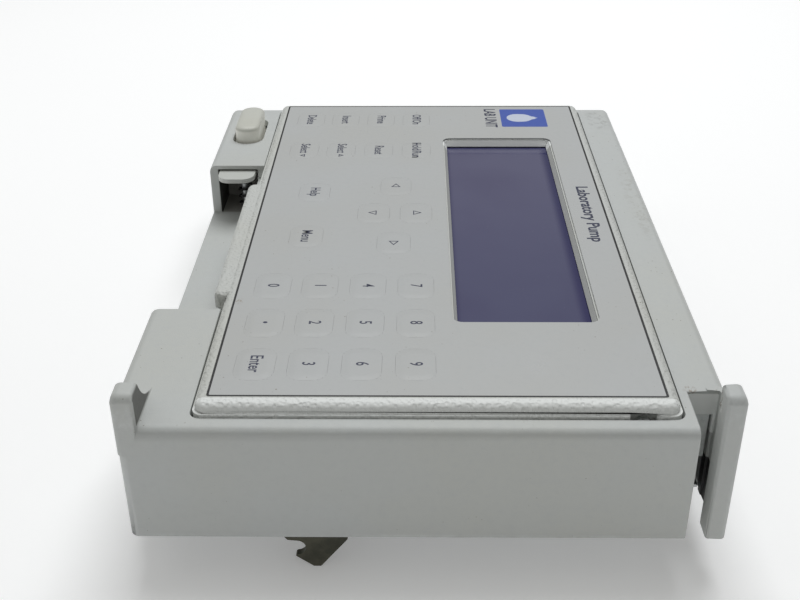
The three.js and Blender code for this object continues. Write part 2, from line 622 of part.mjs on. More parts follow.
function buildRearPlate() {
  let plate = prismZ(doorOutline(WALL + CLEARANCE), zRear + PLATE_INSET, plateTop);
  const clearOfNotch = notchX0 - NOTCH_WALL - CLEARANCE;
  plate = plate.subtract(box(clearOfNotch, xTop, yNear, notchY1 + WALL + CLEARANCE, zRear - 1, 0));
  // slot for the panel's ribbon cable
  const half = CABLE_SLOT.length / 2;
  const slotY1 = yFar - CABLE_SLOT.fromFar;
  plate = plate.subtract(box(-half, half, slotY1 - CABLE_SLOT.width, slotY1, zRear - 1, 0));
  for (const [x, y] of plateScrews) {
    plate = plate.subtract(cylinderZ(x, y, SCREW_SHANK_RADIUS + GAP, zRear - 1, 0, 8));
  }
  return piece('rear_plate', plate, zincPlate);
}

function screw(name, x, y, headTop) {
  const head = cylinderZ(x, y, SCREW_HEAD_RADIUS, headTop - SCREW_HEAD_HEIGHT, headTop, 12);
  const shank = cylinderZ(x, y, SCREW_SHANK_RADIUS, headTop - 0.1, headTop + SCREW_LENGTH - 1, 8);
  const slot = box(x - 2 * SCREW_HEAD_RADIUS, x + 2 * SCREW_HEAD_RADIUS, y - SCREW_SLOT_WIDTH / 2,
    y + SCREW_SLOT_WIDTH / 2, headTop - SCREW_HEAD_HEIGHT - 1, headTop - SCREW_HEAD_HEIGHT + SCREW_SLOT_DEPTH);
  return piece(name, union(head, shank).subtract(slot), steel);
}

const plateOuter = zRear + PLATE_INSET;
const hookX = xBottom + HOOK_CENTRE_FROM_BOTTOM;

// Side view of a hook about its middle, z from the rear rim. Its half-round notch opens to the bottom edge.
function hookShape() {
  const tip = -HOOK_DROP;
  const root = PLATE_INSET - GAP - 0.1;
  const { x, z, r } = HOOK_NOTCH;
  const shape = new THREE.Shape();
  shape.moveTo(-HOOK_HALF_LENGTH, root);
  shape.lineTo(x - r, z + r);
  shape.lineTo(x, z + r);
  shape.absarc(x, z, r, Math.PI / 2, -Math.PI / 2, true);
  shape.lineTo(x - 0.6, tip + HOOK_TIP.slope);
  shape.lineTo(HOOK_TIP.back, tip);
  shape.lineTo(HOOK_TIP.front, tip);
  shape.lineTo(HOOK_HALF_LENGTH, -HOOK_TIP.slope);
  shape.lineTo(HOOK_HALF_LENGTH, root);
  return shape;
}

function buildHook(name, side) {
  const inward = side === 'near' ? 1 : -1;
  const outerFace = side === 'near' ? yNear + WALL + HOOK_INSET : yFar - WALL - HOOK_INSET;
  const y0 = Math.min(outerFace, outerFace + inward * HOOK_THICKNESS);
  const blade = prismY(hookShape(), y0, y0 + HOOK_THICKNESS, 5);
  const z1 = PLATE_INSET - GAP;
  const flangeEnd = outerFace + inward * HOOK_FLANGE_LENGTH;
  const flangeY = [Math.min(outerFace, flangeEnd), Math.max(outerFace, flangeEnd)];
  const flange = box(-HOOK_HALF_LENGTH, HOOK_HALF_LENGTH, ...flangeY, z1 - HOOK_PLATE, z1);
  return piece(name, union(blade, flange).translate([hookX, 0, zRear]), olivePlate);
}

function buildStriker() {
  const x = xTop - STRIKER_FROM_TOP;
  const half = STRIKER_WIDTH / 2;
  const top = plateOuter - GAP;
  const leaf = box(x, x + STRIKER_THICKNESS, -half, half, zRear - HOOK_DROP, top);
  const flange = box(x - STRIKER_FLANGE, x + STRIKER_THICKNESS, -half, half, top - HOOK_PLATE, top);
  const slot = box(x - 1, x + STRIKER_THICKNESS + 1, -half + STRIKER_SLOT_INSET.side,
    half - STRIKER_SLOT_INSET.side, zRear - HOOK_DROP + STRIKER_SLOT_INSET.end, zRear - STRIKER_SLOT_INSET.end);
  return piece('latch_striker', union(leaf, flange).subtract(slot), olivePlate);
}

// An angle bracket in the window of the notch's back wall: its leaf fills the window's upper part.
function buildNotchBracket() {
  const y = notchY1 + 2 * GAP;
  const x0 = notchX0 + NOTCH_POST + 2 * GAP;
  const x1 = webInside - NOTCH_POST - 2 * GAP;
  const top = -NOTCH_LINTEL - GAP;
  const shelf = box(x0, x1, y, y + BRACKET_REACH, top - BRACKET_THICKNESS, top);
  const leaf = box(x0, x1, y, y + BRACKET_THICKNESS, -BRACKET_BOTTOM, top);
  const foot = box(x0, x1, y + BRACKET_REACH - BRACKET_THICKNESS, y + BRACKET_REACH, top - BRACKET_LIP, top);
  return piece('notch_bracket', union(shelf, leaf, foot), zincPlate);
}

// ---------------------------------------------------------------- power button and latch tab

function buildButton() {
  const radius = BUTTON_WIDTH / 2 - 0.01;
  const body = roundedSlab(buttonArea(0), radius, -BUTTON_DEPTH, BUTTON_RISE, BUTTON_EDGE_RADIUS);
  const flangeShape = areaShape(buttonArea(BUTTON_FLANGE), radius + BUTTON_FLANGE);
  const flange = prismZ(flangeShape, -BUTTON_DEPTH, -WALL - GAP - 1, 4);
  const hollowShape = areaShape(buttonArea(-BUTTON_WALL), radius - BUTTON_WALL);
  const hollow = prismZ(hollowShape, -BUTTON_DEPTH - 1, -BUTTON_DEPTH + BUTTON_HOLLOW, 4);
  const stem = blockAt(buttonCentre.x, buttonCentre.y - BUTTON_STEM.aside, BUTTON_STEM.width, BUTTON_STEM.length,
    -SWITCH_DEPTH + BUTTON_TRAVEL + 1, -BUTTON_DEPTH + BUTTON_HOLLOW);
  return piece('power_button', union(body, flange).subtract(hollow).add(stem), buttonPlastic);
}

function buildSwitch() {
  const z1 = -SWITCH_DEPTH;
  const { width, length, rise } = SWITCH_PLUNGER;
  const body = blockAt(buttonCentre.x, buttonCentre.y, SWITCH_BODY.width, SWITCH_BODY.length, plateTop + GAP, z1);
  const plunger = blockAt(buttonCentre.x, buttonCentre.y - BUTTON_STEM.aside, width, length, z1 - 1, z1 + rise);
  return piece('power_switch', union(body, plunger), darkPlastic);
}

function buildButtonSpring() {
  const z0 = -SWITCH_DEPTH + GAP;
  const z1 = -BUTTON_DEPTH + BUTTON_HOLLOW - GAP;
  const { radius, wire, aside } = BUTTON_SPRING;
  return piece('button_spring', spring(buttonCentre.x, buttonCentre.y + aside, radius, wire, z0, z1, SPRING_TURNS), steel);
}

const springSeat = { x: (mouth.x0 + mouth.x1) / 2 + LATCH_SPRING_ASIDE, y: mouth.y0 + LATCH_SPRING_INSIDE };

function buildLatchTab() {
  const x0 = mouth.x0 + TAB_SIDE_GAP;
  const x1 = mouth.x1 - TAB_SIDE_GAP;
  const area = { x0, x1, y0: mouth.y0 - TAB_REACH, y1: mouth.y0 + TAB_INSIDE };
  const leaf = prismZ(areaShape(area, [TAB_CORNER_RADIUS, TAB_CORNER_RADIUS, 0.5, 0.5]), -TAB_DEPTH - TAB_THICKNESS, -TAB_DEPTH, 5);
  const barrel = cylinderX(tabPin.y, tabPin.z, TAB_PIN_RADIUS + GAP + TAB_BARREL_WALL, x0, x1, 12);
  const bore = cylinderX(tabPin.y, tabPin.z, TAB_PIN_RADIUS + GAP, x0 - 1, x1 + 1, 10);
  const cap = box(x0 - 1, x1 + 1, tabPin.y - 4, tabPin.y + 4, -TAB_DEPTH, 0);
  return piece('latch_tab', union(leaf, barrel.subtract(cap)).subtract(bore), panelPlastic);
}

function buildLatchPin() {
  return piece('latch_pin', cylinderX(tabPin.y, tabPin.z, TAB_PIN_RADIUS, mouth.x0 - TAB_PIN_HOLD + CLEARANCE, mouth.x1 + TAB_PIN_HOLD - CLEARANCE, 10), steel);
}

function buildLatchSpring() {
  const z0 = -RECESS_DEPTH + GAP;
  const z1 = -TAB_DEPTH - TAB_THICKNESS - GAP;
  return piece('latch_spring', spring(springSeat.x, springSeat.y, LATCH_SPRING_RADIUS, LATCH_SPRING_WIRE, z0, z1, SPRING_TURNS), steel);
}

function buildLatchPost() {
  const post = cylinderZ(springSeat.x, springSeat.y, LATCH_POST_RADIUS, -RECESS_DEPTH + GAP, -TAB_DEPTH - TAB_THICKNESS - LATCH_POST_SHORT, 12);
  return piece('latch_spring_post', post, zincPlate);
}

// ---------------------------------------------------------------- tilt panel

const trayCover = -TRAY_DEPTH - GAP;
const panelScrews = [
  [tray.x0 + PANEL_SCREW_INSET.corner, tray.y0 + PANEL_SCREW_INSET.corner],
  [tray.x0 + PANEL_SCREW_INSET.corner, tray.y1 - PANEL_SCREW_INSET.corner],
  [tray.x1 - PANEL_SCREW_INSET.corner, tray.y0 + PANEL_SCREW_INSET.topEdge],
  [tray.x1 - PANEL_SCREW_INSET.corner, tray.y1 - PANEL_SCREW_INSET.topEdge],
];
const windowInner = inset(displayOpening, WINDOW_SLOPE);
const lensArea = inset(windowInner, -LENS_BORDER);
const overlayBottom = PANEL_RISE - OVERLAY_THICKNESS;
const faceTop = overlayBottom - GAP;
const brace = { x: tiltAxis.x - BRACE_PIVOT_FROM_AXIS, z: tiltAxis.z - BRACE_PIVOT_BELOW_AXIS };

function slopedWindow() {
  const long = displayOpening;
  const flare = WINDOW_SLOPE / WINDOW_DEPTH;
  const above = 2;
  const top = inset(long, -flare * above);
  const bottom = inset(long, flare * (WINDOW_DEPTH + above));
  const across = polygon([
    [bottom.x0, faceBottom - above], [bottom.x1, faceBottom - above],
    [top.x1, PANEL_RISE + above], [top.x0, PANEL_RISE + above],
  ]);
  const along = polygon([
    [bottom.y0, faceBottom - above], [bottom.y1, faceBottom - above],
    [top.y1, PANEL_RISE + above], [top.y0, PANEL_RISE + above],
  ]);
  const rounding = prismZ(areaShape(long, WINDOW_RADIUS), faceBottom - above, PANEL_RISE + above, 3);
  return prismY(across, top.y0, top.y1).intersect(prismX(along, top.x0, top.x1)).intersect(rounding);
}

function keypadField() {
  const half = { x: KEY_WIDTH / 2 + 1, y: KEY_LENGTH / 2 + 1 };
  const xs = Object.values(KEYS).map(([x]) => x);
  const ys = Object.values(KEYS).map(([, y]) => y);
  return {
    x0: Math.min(...xs) - half.x,
    x1: Math.min(Math.max(...xs) + half.x, lensArea.x0 - 1),
    y0: Math.min(...ys) - half.y,
    y1: Math.max(...ys) + half.y,
  };
}

function buildBezel() {
  const rimSlab = roundedSlab(rim, OPENING_RADIUS, -2, PANEL_RISE, RIM_RADIUS);
  const skirtSlab = prismZ(areaShape(skirt, OPENING_RADIUS), -TRAY_DEPTH, SKIRT_TOP);
  const lipY0 = recess.y0 + LIP_START;
  const lipTop = PANEL_RISE - LIP_DROP;
  const lipArea = { x0: rim.x0 - LIP_REACH, x1: rim.x0 + 4, y0: lipY0, y1: lipY0 + LIP_LENGTH };
  const lip = roundedSlab(lipArea, [2, 0.3, 0.3, 2.6], lipTop - LIP_THICKNESS, lipTop, LIP_EDGE_RADIUS);
  let body = union(rimSlab, skirtSlab, lip);

  // hollow of the tray, and the seat of the overlay and the keypad
  body = body.subtract(prismZ(areaShape(tray, 1.2), -TRAY_DEPTH - 1, faceBottom));
  body = body.subtract(prismZ(areaShape(inset(overlay, -0.15), 0.8), faceTop, PANEL_RISE + 1));
  body = body.subtract(slopedWindow());
  const field = keypadField();
  body = body.subtract(box(field.x0, field.x1, field.y0, field.y1, faceTop - KEY_POCKET_DEPTH, PANEL_RISE));
  for (const [x, y] of Object.values(KEYS)) {
    body = body.subtract(cylinderZ(x, y, STEM_RADIUS + STEM_CLEARANCE, faceBottom - 1, PANEL_RISE, 8));
  }

  // pivot bosses, with room for the housing's lugs outside them
  for (const side of ['near', 'far']) {
    const sign = side === 'near' ? 1 : -1;
    const edge = side === 'near' ? opening.y0 : opening.y1;
    const room = [edge, edge + sign * (LUG_REACH + 0.8)];
    const boss = [room[1], room[1] + sign * PANEL_BOSS.length];
    const bossX = [tiltAxis.x - PANEL_BOSS.half, tiltAxis.x + PANEL_BOSS.half];
    body = body.add(box(...bossX, Math.min(...boss), Math.max(...boss), tiltAxis.z - PANEL_BOSS.below, faceBottom + 0.2));
    const pocket = [tiltAxis.x - LUG_POCKET, tiltAxis.x + LUG_POCKET];
    body = body.subtract(box(...pocket, Math.min(...room), Math.max(...room), tiltAxis.z - 7, LUG_POCKET_TOP));
    const bore = [edge + sign, edge + sign * PIVOT_LENGTH];
    body = body.subtract(cylinderY(tiltAxis.x, tiltAxis.z, PIVOT_RADIUS + GAP, Math.min(...bore), Math.max(...bore), 12));
  }
  for (const [x, y] of panelScrews) {
    const boss = cylinderZ(x, y, BOSS_RADIUS, -TRAY_DEPTH, faceBottom + 0.2, 12);
    body = body.add(boss).subtract(cylinderZ(x, y, SCREW_SHANK_RADIUS + GAP, -TRAY_DEPTH - 1, -TRAY_DEPTH + SCREW_LENGTH, 8));
  }
  return piece('panel_bezel', body, panelPlastic);
}

function buildOverlay() {
  let film = prismZ(areaShape(overlay, 0.8), overlayBottom, PANEL_RISE, 2);
  film = film.subtract(prismZ(areaShape(inset(displayOpening, -0.2), WINDOW_RADIUS), 0, PANEL_RISE + 1, 3));
  for (const [x, y] of Object.values(KEYS)) {
    film = film.subtract(prismZ(keyShape(x, y, GAP), 0, PANEL_RISE + 1, 2));
  }
  return piece('keypad_overlay', film, overlayFilm);
}

function keyShape(x, y, grow) {
  const area = { x0: x - KEY_WIDTH / 2, x1: x + KEY_WIDTH / 2, y0: y - KEY_LENGTH / 2, y1: y + KEY_LENGTH / 2 };
  return areaShape(inset(area, -grow), KEY_RADIUS + grow);
}

const boardTop = faceBottom - 1.8;

function buildKey(name, [x, y]) {
  const pad = prismZ(keyShape(x, y, 0), faceTop - 0.3, PANEL_RISE + KEY_RISE, 2);
  const stem = cylinderZ(x, y, STEM_RADIUS, boardTop + DOME_HEIGHT + KEY_TRAVEL + GAP, PANEL_RISE, 8);
  return piece(name, union(pad, stem), overlayFilm);
}

function buildLens() {
  const lens = prismZ(areaShape(lensArea, 1), faceBottom - GAP - LENS_THICKNESS, faceBottom - GAP, 2);
  return piece('display_window', lens, displayGlass);
}

const moduleTop = faceBottom - GAP - LENS_THICKNESS - GAP;
const moduleArea = inset(lensArea, -1);

function buildModule() {
  const frame = prismZ(areaShape(moduleArea, 1), moduleTop - MODULE_THICKNESS, moduleTop, 2);
  return piece('display_module', frame, darkPlastic);
}

function buildBacklight() {
  const top = moduleTop - MODULE_THICKNESS - GAP;
  return piece('display_backlight', prismZ(areaShape(inset(moduleArea, 2), 1), top - BACKLIGHT_THICKNESS, top, 2), lightGuide);
}

function buildDriverBoard() {
  const top = moduleTop - MODULE_THICKNESS - BACKLIGHT_THICKNESS - 2 * GAP;
  const boardX0 = moduleArea.x0 - DRIVER_BOARD.beyond;
  let board = box(boardX0, moduleArea.x1 - DRIVER_BOARD.short, moduleArea.y0, moduleArea.y1, top - BOARD_THICKNESS, top);
  const connector = blockAt(boardX0 + CONNECTOR.inset + CONNECTOR.width / 2, 0, CONNECTOR.width, CONNECTOR.length,
    top - 0.1, top + CONNECTOR.height);
  board = board.add(connector);
  return piece('driver_board', board, boardGreen);
}

function buildKeypadBoard() {
  const field = keypadField();
  const area = {
    x0: Math.max(field.x0, tray.x0 + 1), x1: Math.min(field.x1, moduleArea.x0 - 1), y0: field.y0, y1: field.y1,
  };
  let board = prismZ(areaShape(area, 1), boardTop - BOARD_THICKNESS, boardTop, 2);
  for (const [x, y] of panelScrews) {
    board = board.subtract(cylinderZ(x, y, BOSS_RADIUS + CLEARANCE, boardTop - 5, boardTop + 5, 12));
  }
  for (const [x, y] of Object.values(KEYS)) {
    board = board.add(cylinderZ(x, y, DOME_RADIUS, boardTop - 0.1, boardTop + DOME_HEIGHT, 8));
  }
  return piece('keypad_board', board, boardGreen);
}

function buildBackCover() {
  const z1 = trayCover;
  const z0 = z1 - PLATE_THICKNESS;
  let cover = prismZ(areaShape(inset(skirt, 0.3), OPENING_RADIUS), z0, z1);
  const half = BRACE_WIDTH / 2 + BRACE_EAR_GAP;
  for (const sign of [-1, 1]) {
    const outline = new THREE.Shape();
    outline.moveTo(brace.x - BRACE_EAR_RADIUS, z0 + 0.1);
    outline.lineTo(brace.x - BRACE_EAR_RADIUS, brace.z);
    outline.absarc(brace.x, brace.z, BRACE_EAR_RADIUS, Math.PI, 2 * Math.PI, false);
    outline.lineTo(brace.x + BRACE_EAR_RADIUS, z0 + 0.1);
    const y = [sign * half, sign * (half + BRACE_EAR_THICKNESS)];
    const ear = prismY(outline, Math.min(...y), Math.max(...y));
    cover = cover.add(ear);
  }
  const rodHole = cylinderY(brace.x, brace.z, BRACE_ROD_RADIUS + GAP, -half - 10, half + 10, 12);
  cover = cover.subtract(rodHole);
  for (const [x, y] of panelScrews) {
    cover = cover.subtract(cylinderZ(x, y, SCREW_SHANK_RADIUS + GAP, z0 - 1, z1 + 1, 8));
  }
  return piece('panel_back_cover', cover, zincPlate);
}

function buildPivotPin(name, side) {
  const sign = side === 'near' ? 1 : -1;
  const edge = side === 'near' ? opening.y0 : opening.y1;
  const ends = [edge - sign * PIVOT_ROOT, edge + sign * (PIVOT_LENGTH - PIVOT_ROOT)];
  return piece(name, cylinderY(tiltAxis.x, tiltAxis.z, PIVOT_RADIUS, Math.min(...ends), Math.max(...ends), 12), steel);
}

// ---------------------------------------------------------------- support brace

function buildBrace() {
  const half = BRACE_WIDTH / 2;
  const foot = brace.x + BRACE_LENGTH;
  const t = BRACE_THICKNESS / 2;
  const plate = box(brace.x, foot, -half, half, brace.z - t, brace.z + t);
  const { root, toe: toeWidth, side } = BRACE_CUTOUT;
  const cutout = box(brace.x + root, foot - toeWidth, -half + side, half - side, brace.z - 5, brace.z + 5);
  const barrel = cylinderY(brace.x, brace.z, BRACE_BARREL_RADIUS, -half, half, 14);
  const toe = cylinderY(foot, brace.z, BRACE_FOOT_RADIUS, -half, half, 12);
  const bore = cylinderY(brace.x, brace.z, BRACE_ROD_RADIUS + GAP, -half - 1, half + 1, 12);
  return piece('support_brace', union(plate.subtract(cutout), barrel, toe).subtract(bore), darkPlastic);
}

function buildBraceRod() {
  const half = BRACE_WIDTH / 2 + BRACE_EAR_GAP + BRACE_EAR_THICKNESS + 1;
  return piece('brace_rod', cylinderY(brace.x, brace.z, BRACE_ROD_RADIUS, -half, half, 12), steel);
}

// ---------------------------------------------------------------- assembly

const door = new THREE.Group();
door.position.z = HOOK_DROP + DOOR_DEPTH;

door.add(buildHousing(), buildRearPlate(), buildStriker(), buildNotchBracket());
door.add(buildHook('hinge_hook_near', 'near'), buildHook('hinge_hook_far', 'far'));
door.add(buildPivotPin('pivot_pin_near', 'near'), buildPivotPin('pivot_pin_far', 'far'));
plateScrews.forEach(([x, y], i) => door.add(screw(`plate_screw_${i + 1}`, x, y, plateOuter - GAP)));
door.add(buildButton(), buildSwitch(), buildButtonSpring());
door.add(buildLatchTab(), buildLatchPin(), buildLatchSpring(), buildLatchPost());

const tiltPanel = new THREE.Group();
tiltPanel.add(buildBezel(), buildOverlay(), buildLens(), buildModule(), buildBacklight());
tiltPanel.add(buildDriverBoard(), buildKeypadBoard(), buildBackCover(), buildBraceRod());
panelScrews.forEach(([x, y], i) => {
  tiltPanel.add(screw(`panel_screw_${i + 1}`, x, y, trayCover - PLATE_THICKNESS - GAP));
});
for (const [name, place] of Object.entries(KEYS)) {
  tiltPanel.add(buildKey(name, place));
}
tiltPanel.add(buildBrace());
door.add(tiltPanel);

const group = new THREE.Group();
group.add(door);
export default group;
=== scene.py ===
"""Looks of a bench pump's upper front door with its tilting control panel.

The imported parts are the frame, and every piece takes its place from their boxes. Metres. X runs from
the door's bottom edge to its top edge, Y from its near side to its far side, and Z up out of its face.
"""

import json
import logging
import math
from dataclasses import dataclass
from enum import Enum
from typing import Sequence, Union

import bmesh
import bpy
from mathutils import Matrix, Vector

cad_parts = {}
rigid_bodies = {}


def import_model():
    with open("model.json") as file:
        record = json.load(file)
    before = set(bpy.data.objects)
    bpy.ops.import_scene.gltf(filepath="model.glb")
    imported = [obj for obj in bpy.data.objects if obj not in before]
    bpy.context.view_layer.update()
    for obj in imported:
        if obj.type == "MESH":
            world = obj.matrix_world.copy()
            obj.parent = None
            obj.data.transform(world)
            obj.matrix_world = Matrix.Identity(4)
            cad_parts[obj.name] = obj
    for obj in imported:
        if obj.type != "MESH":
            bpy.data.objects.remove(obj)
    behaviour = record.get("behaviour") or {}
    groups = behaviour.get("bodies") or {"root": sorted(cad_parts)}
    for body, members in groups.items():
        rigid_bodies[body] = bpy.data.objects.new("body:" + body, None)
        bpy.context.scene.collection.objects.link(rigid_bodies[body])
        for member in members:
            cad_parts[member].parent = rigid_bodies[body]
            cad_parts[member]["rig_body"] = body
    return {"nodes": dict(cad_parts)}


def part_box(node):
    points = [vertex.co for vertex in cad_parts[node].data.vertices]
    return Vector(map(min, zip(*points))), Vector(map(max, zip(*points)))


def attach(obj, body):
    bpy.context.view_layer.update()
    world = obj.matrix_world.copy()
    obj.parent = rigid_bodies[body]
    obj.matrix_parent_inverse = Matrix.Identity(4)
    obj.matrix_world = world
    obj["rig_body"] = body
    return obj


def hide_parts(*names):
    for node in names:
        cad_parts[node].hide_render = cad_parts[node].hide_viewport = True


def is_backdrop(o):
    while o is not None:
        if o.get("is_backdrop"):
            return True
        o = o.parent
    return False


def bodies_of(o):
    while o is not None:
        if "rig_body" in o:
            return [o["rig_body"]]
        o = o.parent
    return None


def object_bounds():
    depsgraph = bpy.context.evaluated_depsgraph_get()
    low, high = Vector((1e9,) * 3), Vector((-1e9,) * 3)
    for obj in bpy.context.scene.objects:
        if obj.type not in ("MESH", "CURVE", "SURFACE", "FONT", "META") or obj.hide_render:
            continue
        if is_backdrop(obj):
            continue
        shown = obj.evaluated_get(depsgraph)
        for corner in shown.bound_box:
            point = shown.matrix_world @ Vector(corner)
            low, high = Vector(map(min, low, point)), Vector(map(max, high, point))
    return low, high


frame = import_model()

LOG = logging.getLogger("door")
MM = 0.001
FACE = 47.0  # the door's face above the floor, in millimetres
INK = 0.02 * MM  # thickness of print
LIFT = 0.004 * MM  # of print off the film
CAP_SHARE = 0.72  # of a capital's height in the font's size
ARROW_STROKE = 0.32 * MM
SMOOTH_BELOW = math.radians(50)  # edges sharper than this stay sharp
BEVEL_ABOVE = math.radians(35)  # edges sharper than this are broken
MERGE = 0.004 * MM
Number = Union["Link", float]
Triple = tuple[float, float, float]


def tone(red: int, green: int, blue: int) -> Triple:
    """Returns a linear colour for display values from 0 to 255."""
    parts = []
    for value in (red, green, blue):
        share = value / 255
        parts.append(share / 12.92 if share <= 0.04045 else ((share + 0.055) / 1.055) ** 2.4)
    return (parts[0], parts[1], parts[2])


def scaled(color: Triple, factor: float, most: float = 1.0) -> Triple:
    """Returns a colour with its parts scaled, up to a limit."""
    red, green, blue = (min(part * factor, most) for part in color)
    return (red, green, blue)


def millimetres(x: float, y: float, z: float) -> Triple:
    """Returns three lengths in metres."""
    return (x * MM, y * MM, z * MM)


# ------------------------------------------------------------------------------------ shader maths


class Link:
    """One output of a shader node. Arithmetic on it adds Math nodes to the same graph."""

    def __init__(self, graph: "Graph", socket: bpy.types.NodeSocket) -> None:
        """Keeps the graph and the output that this link stands for."""
        self.graph = graph
        self.socket = socket

    def _math(self, operation: str, *values: Number) -> "Link":
        """Adds one Math node and returns its output."""
        return self.graph.node("ShaderNodeMath", {"operation": operation}, dict(enumerate(values)))

    def __add__(self, other: Number) -> "Link":
        """Sum."""
        return self._math("ADD", self, other)

    def __radd__(self, other: Number) -> "Link":
        """Sum."""
        return self._math("ADD", other, self)

    def __sub__(self, other: Number) -> "Link":
        """Difference."""
        return self._math("SUBTRACT", self, other)

    def __rsub__(self, other: Number) -> "Link":
        """Difference."""
        return self._math("SUBTRACT", other, self)

    def __mul__(self, other: Number) -> "Link":
        """Product."""
        return self._math("MULTIPLY", self, other)

    def __rmul__(self, other: Number) -> "Link":
        """Product."""
        return self._math("MULTIPLY", other, self)

    def least(self, other: Number) -> "Link":
        """Returns the smaller of the two."""
        return self._math("MINIMUM", self, other)

    def most(self, other: Number) -> "Link":
        """Returns the larger of the two."""
        return self._math("MAXIMUM", self, other)

    def size(self) -> "Link":
        """Returns the value without its sign."""
        return self._math("ABSOLUTE", self)

    def ramp(self, low: float, high: float) -> "Link":
        """Returns 0 at low and 1 at high, with a soft run between them, clamped outside.

        Args:
            low: Value that gives 0.
            high: Value that gives 1. It may be the lower of the two.

        Returns:
            The mask.
        """
        settings = {"interpolation_type": "SMOOTHSTEP"}
        if low < high:
            return self.graph.node("ShaderNodeMapRange", settings, {0: self, 1: low, 2: high})
        return 1 - self.graph.node("ShaderNodeMapRange", settings, {0: self, 1: high, 2: low})


class Graph:
    """The node tree of one material."""

    def __init__(self, name: str) -> None:
        """Makes an empty material.

        Args:
            name: The material's name.
        """
        self.material = bpy.data.materials.new(name)
        self.material.use_nodes = True
        self.tree = self.material.node_tree
        self.tree.nodes.clear()
        self._position: "Link | None" = None

    def node(
        self,
        kind: str,
        settings: "dict[str, object] | None" = None,
        sockets: "dict[Union[int, str], object] | None" = None,
        output: Union[int, str] = 0,
    ) -> Link:
        """Adds a node.

        Args:
            kind: The node's type.
            settings: Properties, set before the sockets.
            sockets: Values or links of its inputs, by name or number.
            output: The output that the link stands for.

        Returns:
            A link to that output.
        """
        made = self.tree.nodes.new(kind)
        for key, value in (settings or {}).items():
            setattr(made, key, value)
        for key, value in (sockets or {}).items():
            if isinstance(value, Link):
                self.tree.links.new(value.socket, made.inputs[key])
            elif isinstance(value, tuple) and len(value) == 3 and made.inputs[key].type == "RGBA":
                made.inputs[key].default_value = (*value, 1)
            else:
                made.inputs[key].default_value = value
        return Link(self, made.outputs[output])

    def position(self) -> Link:
        """Returns the place on the object, in metres."""
        if self._position is None:
            self._position = self.node("ShaderNodeTexCoord", output="Object")
        return self._position

    def axes(self) -> "tuple[Link, Link, Link]":
        """Returns the three coordinates of the place."""
        split = self.node("ShaderNodeSeparateXYZ", sockets={0: self.position()})
        return (split, Link(self, split.socket.node.outputs[1]), Link(self, split.socket.node.outputs[2]))

    def stretched(self, scale: Triple) -> Link:
        """Returns the place, stretched.

        Args:
            scale: Factor along each axis.
        """
        return self.node("ShaderNodeMapping", sockets={"Vector": self.position(), "Scale": scale})

    def noise(
        self, grain: float, detail: float = 3.0, rough: float = 0.5, place: "Link | None" = None
    ) -> Link:
        """Returns noise from 0 to 1.

        Args:
            grain: Size of its patches, in metres.
            detail: Octaves.
            rough: How strong the fine octaves are.
            place: Where it is read, by default the object's place.
        """
        sockets = {
            "Vector": place or self.position(),
            "Scale": 1 / grain,
            "Detail": detail,
            "Roughness": rough,
        }
        return self.node("ShaderNodeTexNoise", sockets=sockets)

    def cells(self, grain: float, feature: str = "F1") -> Link:
        """Returns distances in a field of cells.

        Args:
            grain: Size of a cell, in metres.
            feature: Which distance.
        """
        sockets = {"Vector": self.position(), "Scale": 1 / grain}
        return self.node("ShaderNodeTexVoronoi", {"feature": feature}, sockets, "Distance")

    def within(self, low: Triple, high: Triple, blur: float) -> Link:
        """Returns a mask that is 1 inside a box, with soft sides.

        Args:
            low: The box's low corner, in metres.
            high: Its high corner.
            blur: Half the width of its soft sides.
        """
        inside: Number = 1.0
        for axis, coordinate in enumerate(self.axes()):
            rise = coordinate.ramp(low[axis] - blur, low[axis] + blur)
            fall = coordinate.ramp(high[axis] + blur, high[axis] - blur)
            inside = rise * fall * inside
        return inside

    def distance(self, centre: Triple, reach: "Triple | None" = None) -> Link:
        """Returns how far the place is from a centre.

        Args:
            centre: The centre, in metres.
            reach: Length that counts as 1 along each axis, by default a metre.
        """
        settings = {"operation": "SUBTRACT"}
        offset = self.node("ShaderNodeVectorMath", settings, {0: self.position(), 1: centre})
        if reach is not None:
            offset = self.node("ShaderNodeVectorMath", {"operation": "DIVIDE"}, {0: offset, 1: reach})
        return self.node("ShaderNodeVectorMath", {"operation": "LENGTH"}, {0: offset}, "Value")

    def mix(self, share: Number, first: "Link | Triple", second: "Link | Triple") -> Link:
        """Mixes two colours.

        Args:
            share: 0 gives the first and 1 the second.
            first: One colour.
            second: The other colour.
        """
        settings = {"data_type": "RGBA", "clamp_factor": True}
        return self.node("ShaderNodeMix", settings, {0: share, 6: first, 7: second}, 2)

    def surface(
        self,
        color: "Link | Triple",
        roughness: Number,
        height: "Link | None" = None,
        relief: float = 0.0001,
        **constants: object,
    ) -> bpy.types.Material:
        """Ends the graph in one shader.

        Args:
            color: Base colour.
            roughness: Roughness.
            height: Relief from 0 to 1.
            relief: Its depth, in metres.
            constants: Other sockets of the shader, set directly, with _ for each space.

        Returns:
            The material.
        """
        sockets: "dict[Union[int, str], object]" = {"Base Color": color, "Roughness": roughness}
        for key, value in constants.items():
            sockets[key.replace("_", " ")] = value
        if height is not None:
            sockets["Normal"] = self.node("ShaderNodeBump", sockets={"Height": height, "Distance": relief})
        shader = self.node("ShaderNodeBsdfPrincipled", sockets=sockets)
        end = self.tree.nodes.new("ShaderNodeOutputMaterial")
        self.tree.links.new(shader.socket, end.inputs["Surface"])
        return self.material


# ---------------------------------------------------------------------------------------- finishes


class Relief(Enum):
    """Texture that the mould leaves on a plastic surface."""

    FINE = "fine"
    LEATHER = "leather"
    SATIN = "satin"


@dataclass(frozen=True)
class Mark:
    """A patch of dirt or wear at one place."""

    centre: Triple
    reach: Triple
    color: Triple
    strength: float = 0.6
    grain: float = 0.9 * MM


